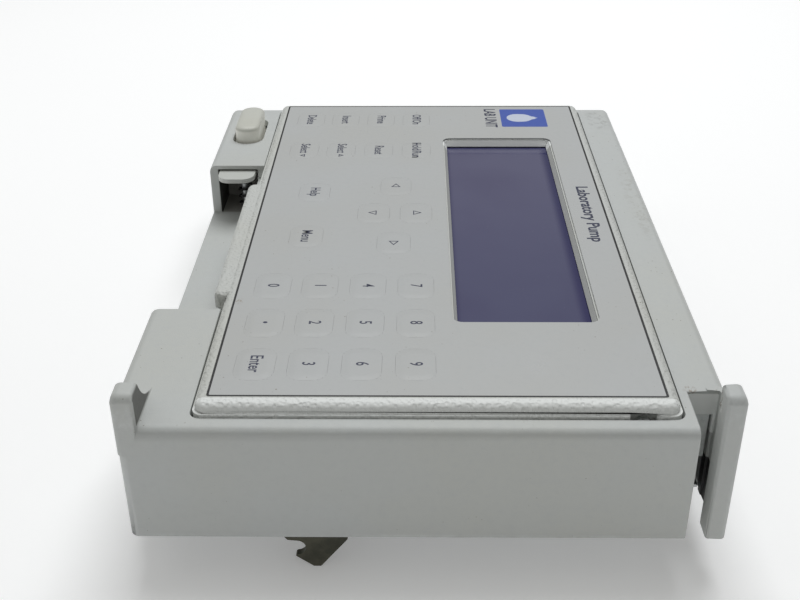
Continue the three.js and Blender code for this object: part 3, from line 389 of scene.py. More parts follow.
@dataclass(frozen=True)
class Patch:
    """A box-shaped region with a colour laid over it, used for painted light and painted shade."""

    low: Triple
    high: Triple
    color: Triple
    strength: float = 1.0
    blur: float = 0.25 * MM


@dataclass(frozen=True)
class Box:
    """The corners of a node or of the whole door."""

    low: Triple
    high: Triple

    @staticmethod
    def of(node: str) -> "Box":
        """Returns the box of a node of the frame."""
        low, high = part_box(node)
        return Box(tuple(low), tuple(high))

    def middle(self) -> Vector:
        """Returns the box's centre."""
        return (Vector(self.low) + Vector(self.high)) / 2

    def span(self, axis: int) -> float:
        """Returns its length along an axis."""
        return self.high[axis] - self.low[axis]

    def place(self, x: float, y: float, z: float) -> Triple:
        """Returns a place, in metres.

        Args:
            x: Millimetres in from the low side, or from the high side where it is negative.
            y: The same along the other axis.
            z: Millimetres above the floor.
        """
        across = (self.low[0] if x >= 0 else self.high[0]) + x * MM
        along = (self.low[1] if y >= 0 else self.high[1]) + y * MM
        return (across, along, z * MM)


@dataclass(frozen=True)
class MouldedPlastic:
    """Plastic with a moulded texture, aged a little, with rubbed edges, specks of dirt and boxes of
    painted light and shade.
    """

    name: str
    color: Triple
    aged: Triple
    dirt: Triple = tone(118, 112, 98)
    roughness: float = 0.5
    relief: Relief = Relief.FINE
    edges: "Box | None" = None
    marks: "tuple[Mark, ...]" = ()
    patches: "tuple[Patch, ...]" = ()
    smooth: "Box | None" = None
    cloud_grain: float = 46 * MM
    fine_grain: float = 2.2 * MM
    speck_grain: float = 0.9 * MM
    cell: float = 1.1 * MM

    def height(self, graph: Graph) -> "tuple[Link, float]":
        """Returns the relief and its depth in metres."""
        if self.relief is Relief.LEATHER:
            hills = graph.cells(self.cell, "SMOOTH_F1").ramp(0.1, 0.62) + graph.noise(0.5 * MM, 2.0) * 0.35
            if self.smooth is not None:
                flat = graph.within(self.smooth.low, self.smooth.high, 0.3 * MM)
                hills = hills * (1 - flat * 0.92)
            return hills, 0.2 * MM
        if self.relief is Relief.SATIN:
            return graph.noise(0.16 * MM, 2.0), 0.012 * MM
        return graph.noise(0.42 * MM, 4.0, 0.62) + graph.noise(1.6 * MM, 1.0) * 0.3, 0.06 * MM

    def rubbed(self, graph: Graph) -> Link:
        """Returns a mask of the outer edges, broken up as wear is."""
        x, y, z = graph.axes()
        assert self.edges is not None
        middle = self.edges.middle()
        gaps = []
        for axis, coordinate in enumerate((x, y, z)):
            gaps.append(self.edges.span(axis) / 2 - (coordinate - middle[axis]).size())
        low = gaps[0].least(gaps[1])
        high = gaps[0].most(gaps[1])
        second = low.most(high.least(gaps[2]))
        return second.ramp(1.5 * MM, 0.3 * MM) * graph.noise(5 * MM, 4.0, 0.7).ramp(0.45, 0.7)

    def material(self) -> bpy.types.Material:
        """Returns the material."""
        graph = Graph(self.name)
        cloud = graph.noise(self.cloud_grain, 3.0)
        fine = graph.noise(self.fine_grain, 5.0, 0.65)
        color = graph.mix(cloud.ramp(0.3, 0.72), self.color, self.aged)
        color = graph.mix(fine.ramp(0.42, 0.8) * 0.5, color, scaled(self.color, 0.93))
        dirty = graph.noise(22 * MM, 2.0).ramp(0.45, 0.62)
        specks = graph.noise(self.speck_grain, 1.0).ramp(0.735, 0.78) * dirty
        color = graph.mix(specks * 0.75, color, self.dirt)
        roughness = self.roughness + (fine - 0.5) * 0.18
        if self.edges is not None:
            worn = self.rubbed(graph)
            color = graph.mix(worn * 0.55, color, scaled(self.color, 1.22, 0.9))
            roughness = roughness - worn * 0.12
        for mark in self.marks:
            far = graph.distance(mark.centre, mark.reach)
            broken = graph.noise(mark.grain, 4.0, 0.7).ramp(0.48, 0.62)
            color = graph.mix(far.ramp(1.0, 0.35) * broken * mark.strength, color, mark.color)
        # Boxes of painted light and painted shade.
        for patch in self.patches:
            share = graph.within(patch.low, patch.high, patch.blur) * patch.strength
            color = graph.mix(share, color, patch.color)
        height, depth = self.height(graph)
        return graph.surface(color, roughness, height, depth, Specular_IOR_Level=0.45)


@dataclass(frozen=True)
class WindowGlass:
    """Glossy dark window over a display, with its active field a little lighter than its border and a
    painted reflection on it.
    """

    name: str
    field_low: Triple
    field_high: Triple
    color: Triple = (0.094, 0.096, 0.176)
    # Colour of the field's far side: painted reflection.
    deep: Triple = (0.118, 0.116, 0.200)
    border: Triple = (0.034, 0.034, 0.110)
    blur: float = 1.6 * MM
    # Centre of the painted reflection's thin dark arc.
    scratch: Triple = (0.031, -0.019, 0.0)
    bend: float = 9 * MM  # radius of the painted reflection's dark arc

    def material(self) -> bpy.types.Material:
        """Returns the material."""
        graph = Graph(self.name)
        _, y, _ = graph.axes()
        inside = graph.within(self.field_low, self.field_high, self.blur)
        cloud = graph.noise(30 * MM, 2.0)
        # Painted reflection: the field grows lighter towards its far side.
        away = y.ramp(self.field_low[1], self.field_high[1])
        color = graph.mix(inside, self.border, graph.mix(away, self.color, self.deep))
        # Painted reflection: a thin dark arc on the near side of a ring.
        ring = (graph.distance(self.scratch) - self.bend).size().ramp(0.3 * MM, 0.1 * MM)
        arc = ring * y.ramp(self.scratch[1] - 5 * MM, self.scratch[1] - 8 * MM)
        color = graph.mix(arc * 0.7, color, self.border)
        band = y.ramp(self.field_high[1] + 1.0 * MM, self.field_high[1] + 3.5 * MM)
        color = graph.mix(band * 0.75, color, (0.17, 0.17, 0.175))
        color = graph.mix(cloud.ramp(0.3, 0.8) * 0.25, color, tone(66, 60, 96))
        dust = graph.noise(0.5 * MM, 1.0).ramp(0.74, 0.8) * graph.noise(16 * MM, 2.0).ramp(0.4, 0.65)
        color = graph.mix(dust * 0.35, color, tone(150, 150, 160))
        smear = graph.noise(9 * MM, 3.0, place=graph.stretched((1.0, 0.35, 1.0)))
        roughness = 0.05 + smear.ramp(0.45, 0.75) * 0.09 + dust * 0.3
        return graph.surface(color, roughness, graph.noise(8 * MM, 1.0), 0.01 * MM, IOR=1.5)


class Lay(Enum):
    """Direction of the fine lines on metal."""

    ALONG_Y = (1.0, 0.06, 1.0)
    NONE = (1.0, 1.0, 1.0)


@dataclass(frozen=True)
class Metal:
    """Bare, plated or passivated metal with rolling lines, blotches and scratches."""

    name: str
    color: Triple
    blotch: Triple
    roughness: float
    metallic: float = 1.0
    lay: Lay = Lay.ALONG_Y
    spangle: float = 0.0
    flake: float = 1 / 170  # size of a spangle, in metres

    def material(self) -> bpy.types.Material:
        """Returns the material."""
        graph = Graph(self.name)
        lines = graph.noise(0.35 * MM, 3.0, 0.6, graph.stretched(self.lay.value))
        patches = graph.noise(7 * MM, 4.0, 0.65)
        color = graph.mix(patches.ramp(0.38, 0.7), self.color, self.blotch)
        if self.spangle:
            sockets = {"Vector": graph.position(), "Scale": 1 / self.flake}
            flakes = graph.node("ShaderNodeTexVoronoi", {"feature": "F1"}, sockets, "Color")
            split = graph.node("ShaderNodeSeparateColor", sockets={0: flakes})
            color = graph.mix(split * self.spangle, color, scaled(self.color, 1.25))
        streaks = graph.noise(0.8 * MM, 2.0, 0.5, graph.stretched((0.05, 1.0, 0.3))).ramp(0.66, 0.74)
        color = graph.mix(streaks * 0.35, color, scaled(self.color, 1.6))
        roughness = self.roughness + (lines - 0.5) * 0.16 + patches.ramp(0.4, 0.7) * 0.1
        return graph.surface(color, roughness, lines, 0.01 * MM, Metallic=self.metallic)


@dataclass(frozen=True)
class BoardLacquer:
    """Solder mask with copper tracks showing through it."""

    name: str
    color: Triple = tone(28, 92, 58)
    track: Triple = tone(52, 128, 78)

    def material(self) -> bpy.types.Material:
        """Returns the material."""
        graph = Graph(self.name)
        settings = {"offset": 0.5, "squash": 1.0}
        sockets = {"Vector": graph.position(), "Scale": 160.0, "Mortar Size": 0.06, "Mortar Smooth": 0.1}
        gaps = graph.node("ShaderNodeTexBrick", settings, sockets, "Fac")
        cloud = graph.noise(12 * MM, 3.0)
        color = graph.mix(gaps, self.color, self.track)
        color = graph.mix(cloud.ramp(0.4, 0.8) * 0.3, color, scaled(self.color, 0.6))
        return graph.surface(color, 0.28 + cloud * 0.15, gaps, 0.03 * MM)


@dataclass(frozen=True)
class Ink:
    """Printed ink with a slightly uneven coat."""

    name: str
    color: Triple
    faded: Triple

    def material(self) -> bpy.types.Material:
        """Returns the material."""
        graph = Graph(self.name)
        wear = graph.noise(1.4 * MM, 4.0, 0.7)
        color = graph.mix(wear.ramp(0.5, 0.8) * 0.5, self.color, self.faded)
        return graph.surface(color, 0.42 + (wear - 0.5) * 0.1, wear, 0.004 * MM)


@dataclass(frozen=True)
class Milky:
    """Light guide: milky plastic with a grid of printed dots."""

    name: str
    color: Triple = tone(228, 230, 226)

    def material(self) -> bpy.types.Material:
        """Returns the material."""
        graph = Graph(self.name)
        dots = graph.cells(1.2 * MM).ramp(0.3, 0.22)
        color = graph.mix(dots * 0.4, self.color, (0.95, 0.95, 0.95))
        return graph.surface(color, 0.35 + dots * 0.2, dots, 0.02 * MM)


# ------------------------------------------------------------------------------------ mesh helpers


def body_of(node: str) -> str:
    """Returns the body that a node of the frame rides on."""
    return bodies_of(frame["nodes"][node])[0]


def made(
    name: str,
    mesh: bmesh.types.BMesh,
    material: bpy.types.Material,
    body: str,
    slot: str,
    stands_for: Sequence[str] = (),
) -> bpy.types.Object:
    """Turns a bmesh into a finished piece.

    Args:
        name: The piece's name.
        mesh: Its shape, which is freed.
        material: Its finish.
        body: The body it rides on.
        slot: The record's slot of its finish; not used.
        stands_for: Nodes of the frame that it replaces.

    Returns:
        The piece.
    """
    data = bpy.data.meshes.new(name)
    mesh.to_mesh(data)
    mesh.free()
    data.shade_smooth()
    data.set_sharp_from_angle(angle=SMOOTH_BELOW)
    data.materials.append(material)
    piece = bpy.data.objects.new(name, data)
    bpy.context.scene.collection.objects.link(piece)
    weighted = piece.modifiers.new("even shading", "WEIGHTED_NORMAL")
    weighted.keep_sharp = True
    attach(piece, body)
    if stands_for:
        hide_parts(*stands_for)
    LOG.info("%s: %d faces on %s", name, len(data.polygons), body)
    return piece


def refined(node: str, material: bpy.types.Material, slot: str, edge: float) -> bpy.types.Object:
    """Makes a piece from a node of the frame, with its faces merged and its edges broken.

    Args:
        node: The node, which the piece replaces.
        material: Its finish.
        slot: The record's slot of its finish.
        edge: Width of its broken edges, or 0 for none.

    Returns:
        The piece.
    """
    mesh = bmesh.new()
    mesh.from_mesh(frame["nodes"][node].data)
    bmesh.ops.remove_doubles(mesh, verts=mesh.verts, dist=MERGE)
    bmesh.ops.dissolve_limit(
        mesh, angle_limit=math.radians(1.0), verts=mesh.verts, edges=mesh.edges,
        use_dissolve_boundaries=False,
    )
    if edge:
        sharp = []
        for each in mesh.edges:
            if len(each.link_faces) == 2 and each.calc_face_angle(0.0) > BEVEL_ABOVE:
                length = each.calc_length()
                depth = min(face.calc_area() for face in each.link_faces) / length
                if length > 4 * edge and depth > 1.5 * edge:
                    sharp.append(each)
        bmesh.ops.bevel(
            mesh, geom=sharp, offset=edge, offset_type="OFFSET", segments=2, profile=0.5,
            affect="EDGES", material=-1, clamp_overlap=False, miter_outer="SHARP",
        )
    return made(f"{node}_finished", mesh, material, body_of(node), slot, [node])


def outline(
    mesh: bmesh.types.BMesh,
    box: "tuple[float, float, float, float]",
    radius: float,
    z: float,
    steps: int = 6,
) -> bmesh.types.BMFace:
    """Adds a flat rounded rectangle.

    Args:
        mesh: Where it is added.
        box: Its x0, x1, y0 and y1.
        radius: Radius of its corners.
        z: Its height.
        steps: Segments of each corner.

    Returns:
        Its face, which looks up.
    """
    x0, x1, y0, y1 = box
    corners = bmesh.ops.create_grid(mesh, x_segments=1, y_segments=1, size=0.5)["verts"]
    middle = Matrix.Translation(((x0 + x1) / 2, (y0 + y1) / 2, z))
    bmesh.ops.transform(mesh, matrix=middle @ Matrix.Diagonal((x1 - x0, y1 - y0, 1, 1)), verts=corners)
    if radius:
        bmesh.ops.bevel(
            mesh, geom=corners, offset=radius, offset_type="OFFSET", segments=steps, profile=0.5,
            affect="VERTICES", material=-1,
        )
    mesh.faces.ensure_lookup_table()
    return mesh.faces[-1]


def raised(mesh: bmesh.types.BMesh, face: bmesh.types.BMFace, height: float) -> bmesh.types.BMFace:
    """Extrudes a face up into a solid and returns its new top face."""
    grown = bmesh.ops.extrude_face_region(mesh, geom=[face])["geom"]
    verts = [each for each in grown if isinstance(each, bmesh.types.BMVert)]
    tops = [each for each in grown if isinstance(each, bmesh.types.BMFace)]
    bmesh.ops.translate(mesh, vec=(0, 0, height), verts=verts)
    return tops[0]


def thickened(mesh: bmesh.types.BMesh) -> None:
    """Extrudes all of a flat mesh up by the thickness of print."""
    grown = bmesh.ops.extrude_face_region(mesh, geom=list(mesh.faces))["geom"]
    tops = [each for each in grown if isinstance(each, bmesh.types.BMVert)]
    bmesh.ops.translate(mesh, vec=(0, 0, INK), verts=tops)


def crowned(
    mesh: bmesh.types.BMesh, top: bmesh.types.BMFace, steps: Sequence["tuple[float, float]"]
) -> None:
    """Rounds a top face over with insets.

    Args:
        mesh: The mesh.
        top: Its top face.
        steps: (inset, rise) of each step, in metres.
    """
    for width, rise in steps:
        bmesh.ops.inset_region(
            mesh, faces=[top], thickness=width, depth=rise, use_even_offset=False, use_boundary=True
        )


def sealed(mesh: bmesh.types.BMesh) -> bmesh.types.BMesh:
    """Turns every face outwards and returns the mesh."""
    bmesh.ops.recalc_face_normals(mesh, faces=mesh.faces)
    return mesh


# Lettering reads from the far side to the near side, with its tops towards the top edge.
READING = Matrix(((0, 1, 0, 0), (-1, 0, 0, 0), (0, 0, 1, 0), (0, 0, 0, 1)))


@dataclass(frozen=True)
class Lettering:
    """A line of printed text."""

    text: str
    height: float
    width: float = 0.76
    weight: float = 0.05 * MM

    def mesh(self, x: float, y: float, z: float) -> bmesh.types.BMesh:
        """Returns the line as a thin solid, centred at a place.

        Args:
            x: Its middle across the panel.
            y: Its middle along the panel.
            z: Its underside.

        Returns:
            The shape.
        """
        curve = bpy.data.curves.new("lettering", "FONT")
        curve.body = self.text
        curve.size = self.height / CAP_SHARE
        curve.align_x = "CENTER"
        curve.align_y = "CENTER"
        curve.extrude = INK / 2
        curve.offset = self.weight
        curve.resolution_u = 3
        holder = bpy.data.objects.new("lettering", curve)
        bpy.context.scene.collection.objects.link(holder)
        data = bpy.data.meshes.new_from_object(holder)
        bpy.data.objects.remove(holder)
        bpy.data.curves.remove(curve)
        mesh = bmesh.new()
        mesh.from_mesh(data)
        bpy.data.meshes.remove(data)
        turn = READING @ Matrix.Diagonal((self.width, 1, 1, 1))
        place = Matrix.Translation((x, y, z + INK / 2)) @ turn
        bmesh.ops.transform(mesh, matrix=place, verts=mesh.verts)
        bmesh.ops.remove_doubles(mesh, verts=mesh.verts, dist=0.002 * MM)
        return sealed(mesh)


def arrow(x: float, y: float, z: float, turn: float, size: float = 1.9 * MM) -> bmesh.types.BMesh:
    """Returns an outlined triangle of ink.

    Args:
        x: Its middle across the panel.
        y: Its middle along the panel.
        z: Its underside.
        turn: Where it points, in degrees from the top edge towards the far side.
        size: From its middle to a tip.

    Returns:
        The shape.
    """
    mesh = bmesh.new()
    bmesh.ops.create_circle(mesh, cap_ends=True, segments=3, radius=size)
    mesh.faces.ensure_lookup_table()
    bmesh.ops.inset_region(
        mesh, faces=[mesh.faces[0]], thickness=ARROW_STROKE, use_even_offset=True, use_boundary=True
    )
    mesh.faces.ensure_lookup_table()
    inner = min(mesh.faces, key=lambda face: max(v.co.length for v in face.verts))
    bmesh.ops.delete(mesh, geom=[inner], context="FACES_ONLY")
    thickened(mesh)
    points_at = Matrix.Rotation(math.radians(turn - 90), 4, "Z")
    bmesh.ops.transform(mesh, matrix=Matrix.Translation((x, y, z)) @ points_at, verts=mesh.verts)
    return sealed(mesh)


def joined(parts: Sequence[bmesh.types.BMesh]) -> bmesh.types.BMesh:
    """Puts several shapes into one mesh and frees them."""
    whole = bmesh.new()
    for part in parts:
        data = bpy.data.meshes.new("part")
        part.to_mesh(data)
        part.free()
        whole.from_mesh(data)
        bpy.data.meshes.remove(data)
    return whole


# ----------------------------------------------------------------------------------- sub-assemblies


@dataclass
class Finishes:
    """The finishes of the door's slots."""

    door: Box
    panel: Box
    window: Box

    def __post_init__(self) -> None:
        """Makes the materials."""
        self.shell = self._shell()
        self.bezel = self._bezel()
        self.film = self._film()
        self.glass = self._glass()
        self.button = self._button()
        self.tab = MouldedPlastic(
            "latch tab plastic", tone(202, 204, 202), tone(198, 200, 194), roughness=0.45
        ).material()
        self.dark = MouldedPlastic(
            "dark plastic", tone(34, 34, 37), tone(44, 43, 43), dirt=tone(80, 78, 74), roughness=0.55
        ).material()
        self.olive = Metal("hook steel", tone(84, 83, 70), tone(66, 66, 56), 0.48, 0.45).material()
        self.zinc = Metal(
            "zinc plate", tone(178, 181, 181), tone(158, 161, 160), 0.36, 0.9, Lay.NONE, 0.4
        ).material()
        self.bracket = Metal(
            "bracket paint", tone(244, 248, 246), tone(206, 210, 208), 0.5, 0.1, Lay.NONE, 0.3
        ).material()
        self.steel = Metal("steel", tone(200, 202, 204), tone(182, 184, 186), 0.26).material()
        self.spring = Metal("spring steel", tone(74, 74, 76), tone(58, 57, 56), 0.4, 0.8).material()
        self.board = BoardLacquer("circuit board").material()
        self.guide = Milky("light guide").material()
        self.ink = Ink("legend ink", tone(52, 56, 80), tone(80, 84, 104)).material()
        self.black = Ink("black line", tone(24, 24, 26), tone(48, 48, 50)).material()
        self.blue = Ink("blue ink", tone(66, 92, 178), tone(96, 118, 186)).material()
        self.white = Ink("white ink", tone(205, 212, 228), tone(186, 194, 216)).material()

    def _shell(self) -> bpy.types.Material:
        """Returns the shell's plastic, with its scuffs, painted shade in its hollows and painted light on
        the notch's back wall.
        """
        d = self.door
        rust, chalk, clay = tone(96, 78, 58), tone(240, 240, 236), tone(128, 104, 80)
        smudge, haze = tone(140, 140, 138), tone(160, 158, 150)
        marks = (
            Mark(d.place(-5.3, 5.8, FACE + 5.6), millimetres(1, 1.8, 3.2), rust, 0.95, 0.9 * MM),
            Mark(d.place(-5.3, 4.6, FACE + 4.2), millimetres(1, 1.4, 2.4), chalk, 0.9, 0.8 * MM),
            Mark(d.place(-9.5, 18, FACE), millimetres(2.2, 2.5, 2), clay, 0.8),
            Mark(d.place(-6, -14, FACE), millimetres(6, 14, 5), smudge, 0.45, 4 * MM),
            Mark(d.place(-4, 132.5, FACE), millimetres(4, 40, 4), haze, 0.35, 2 * MM),
        )
        mouth = (Box.of("latch_tab").low[1] - d.low[1]) / MM + 8.2  # the tab stands 8 mm out of it
        # Colours of painted shade in the latch's mouth, on its side wall, on the ear's inner face and in
        # the notch, and of painted light on the notch's back wall.
        mouth_painted_shade, side, ear_painted_shade = tone(160, 158, 154), tone(66, 65, 63), tone(88, 88, 84)
        black, lintel_painted_light = tone(12, 12, 12), tone(250, 252, 250)
        patches = (
            # Painted shade in the latch's mouth.
            Patch(d.place(3, mouth, 18), d.place(20, mouth + 35.8, 45.8), mouth_painted_shade, 0.95, 0.1 * MM),
            # Darker painted shade on the mouth's side wall.
            Patch(d.place(3, mouth, 18), d.place(3.6, mouth + 35.8, 45.8), side, 0.95, 0.1 * MM),
            # Painted shade on the ear's inner face.
            Patch(d.place(8.7, 0.9, FACE + 0.7), d.place(14, 19.2, FACE + 11), ear_painted_shade, 0.9, 0.2 * MM),
            # Painted shade, black, in the notch below its back wall.
            Patch(d.place(-11.5, 6.4, 0), d.place(-1.6, 22, 26), black, 0.96),
            # Painted light on the notch's back wall.
            Patch(d.place(-10.5, 17, 34), d.place(-1.6, 19, 46.2), lintel_painted_light),
        )
        below_fins = Box(d.low, (d.high[0], d.high[1], FACE * MM))
        plastic = MouldedPlastic(
            "shell plastic", tone(196, 199, 198), tone(196, 198, 194), marks=marks, patches=patches,
            edges=below_fins, roughness=0.52,
        )
        return plastic.material()

    def _bezel(self) -> bpy.types.Material:
        """Returns the panel's plastic: leathery round the film, smooth in the window's frame, with painted
        light on its far lip and near rim.
        """
        inside_film = Box(self.panel.place(2, 2, 0), self.panel.place(-2, -2, 100))
        far_lip = (inside_film.low[0], self.window.high[1] - 7 * MM, 30 * MM)
        rim_high = (self.door.high[0], self.panel.low[1] - 0.6 * MM, 80 * MM)
        patches = (
            # Painted light on the far lip of the window's frame.
            Patch(far_lip, inside_film.high, tone(250, 252, 250)),
            # Painted light on the bezel's near rim.
            Patch(self.door.place(0, 0, 30), rim_high, tone(240, 242, 240), 0.9),
        )
        plastic = MouldedPlastic(
            "panel plastic", tone(204, 206, 203), tone(202, 203, 197), relief=Relief.LEATHER,
            roughness=0.5, patches=patches, smooth=inside_film,
        )
        return plastic.material()

    def _film(self) -> bpy.types.Material:
        """Returns the keypad's film, with a spot of dirt and a rubbed place."""
        top = self.panel.high[2] / MM
        spot, rubbed = tone(128, 104, 72), tone(200, 202, 204)
        marks = (
            Mark(millimetres(-52, -55, top), millimetres(1.6, 2.2, 2), spot, 0.7),
            Mark(millimetres(30, -88, top), millimetres(5, 8, 2), rubbed, 0.3, 0.4 * MM),
        )
        plastic = MouldedPlastic(
            "keypad film", tone(189, 191, 191), tone(188, 189, 187), dirt=tone(128, 121, 108),
            relief=Relief.SATIN, roughness=0.42, marks=marks,
        )
        return plastic.material()

    def _glass(self) -> bpy.types.Material:
        """Returns the window's glass, dark round the display's field."""
        low, high = self.window.low, self.window.high
        field_low = (low[0] + 3 * MM, low[1] + 4 * MM, low[2] - 5 * MM)
        field_high = (high[0] - 5 * MM, high[1] - 5 * MM, high[2] + 5 * MM)
        return WindowGlass("display glass", field_low, field_high).material()

    def _button(self) -> bpy.types.Material:
        """Returns the button's plastic, with painted light on its sides below its crown."""
        skirt_top = Box.of("power_button").high[2] - 1.5 * MM
        # Painted light on the button's sides below its crown.
        skirt_painted_light = Patch((-1.0, -1.0, 0.0), (1.0, 1.0, skirt_top), tone(252, 251, 242), 1.0, 0.6 * MM)
        plastic = MouldedPlastic(
            "button plastic", tone(205, 206, 198), tone(203, 202, 190), roughness=0.42, patches=(skirt_painted_light,)
        )
        return plastic.material()


@dataclass
class Housing:
    """The moulded door with what is fixed to it."""

    finish: Finishes
    screws: int = 4
    fittings: "tuple[str, ...]" = ("hinge_hook_near", "hinge_hook_far", "latch_striker")

    def build(self) -> None:
        """Makes the housing, the rear plate and the ironwork."""
        f = self.finish
        refined("door_housing", f.shell, "shell_plastic", 0.3 * MM)
        refined("rear_plate", f.zinc, "zinc_plate", 0.15 * MM)
        refined("notch_bracket", f.bracket, "zinc_plate", 0.15 * MM)
        for node in self.fittings:
            refined(node, f.olive, "hook_steel", 0.3 * MM)
        for side in ("near", "far"):
            refined(f"pivot_pin_{side}", f.steel, "steel", 0.15 * MM)
        for number in range(1, self.screws + 1):
            refined(f"plate_screw_{number}", f.steel, "steel", 0.15 * MM)
        refined("power_switch", f.dark, "dark_plastic", 0.3 * MM)
        refined("latch_pin", f.steel, "steel", 0.15 * MM)
        refined("latch_spring_post", f.zinc, "zinc_plate", 0.15 * MM)
        refined("latch_tab", f.tab, "panel_plastic", 0.3 * MM)
        for node in ("button_spring", "latch_spring"):
            frame["nodes"][node].data.materials.clear()
            frame["nodes"][node].data.materials.append(f.spring)


@dataclass
class PowerButton:
    """Long domed push button."""

    finish: Finishes
    flange_reach: float = 1.9 * MM
    flange_thickness: float = 5.2 * MM
    depth: float = 9 * MM  # below the face
    spare: float = 0.25 * MM  # keeps the corners short of a half circle
    crown: "tuple[tuple[float, float], ...]" = (
        (0.1 * MM, 0.5 * MM),
        (0.25 * MM, 0.42 * MM),
        (0.42 * MM, 0.34 * MM),
        (0.6 * MM, 0.24 * MM),
        (0.9 * MM, 0.14 * MM),
        (1.2 * MM, 0.05 * MM),
    )

    def build(self) -> None:
        """Makes the button."""
        box = Box.of("power_button")
        low, high = box.low, box.high
        reach = self.flange_reach
        foot = FACE * MM - self.depth
        body = bmesh.new()
        sides = (low[0] + reach, high[0] - reach, low[1] + reach, high[1] - reach)
        half = (sides[1] - sides[0]) / 2
        rise = sum(step[1] for step in self.crown)
        base = outline(body, sides, half - self.spare, foot, 10)
        top = raised(body, base, high[2] - rise - foot)
        crowned(body, top, self.crown)
        flange = bmesh.new()
        whole = (low[0], high[0], low[1], high[1])
        ring = outline(flange, whole, half + reach - self.spare, foot, 8)
        raised(flange, ring, self.flange_thickness)
        stem = bmesh.new()
        middle = box.middle()
        stem_sides = (middle.x - 2 * MM, middle.x + 2 * MM, middle.y - 5 * MM, middle.y - 1.5 * MM)
        sole = outline(stem, stem_sides, 0.4 * MM, low[2], 2)
        raised(stem, sole, foot + 1 * MM - low[2])
        shape = joined([sealed(body), sealed(flange), sealed(stem)])
        made("button_cap", shape, self.finish.button, "power_button", "button_plastic", ["power_button"])


@dataclass
class Legend:
    """What is printed on one key."""

    text: str = ""
    arrow: "float | None" = None
    mark: "float | None" = None


LEGENDS: "dict[str, Legend]" = {
    **{f"key_{digit}": Legend(str(digit)) for digit in range(10)},
    "key_decimal": Legend("•"),
    "key_enter": Legend("Enter"),
    "key_help": Legend("Help"),
    "key_menu": Legend("Menu"),
    "key_reset": Legend("Reset"),
    "key_hold_run": Legend("Hold/Run"),
    "key_off_on": Legend("Off/On"),
    "key_prime": Legend("Prime"),
    "key_insert": Legend("Insert"),
    "key_delete": Legend("Delete"),
    "key_select_up": Legend("Select", mark=0.0),
    "key_select_down": Legend("Select", mark=180.0),
    "key_up": Legend(arrow=0.0),
    "key_down": Legend(arrow=180.0),
    "key_left": Legend(arrow=90.0),
    "key_right": Legend(arrow=-90.0),
}


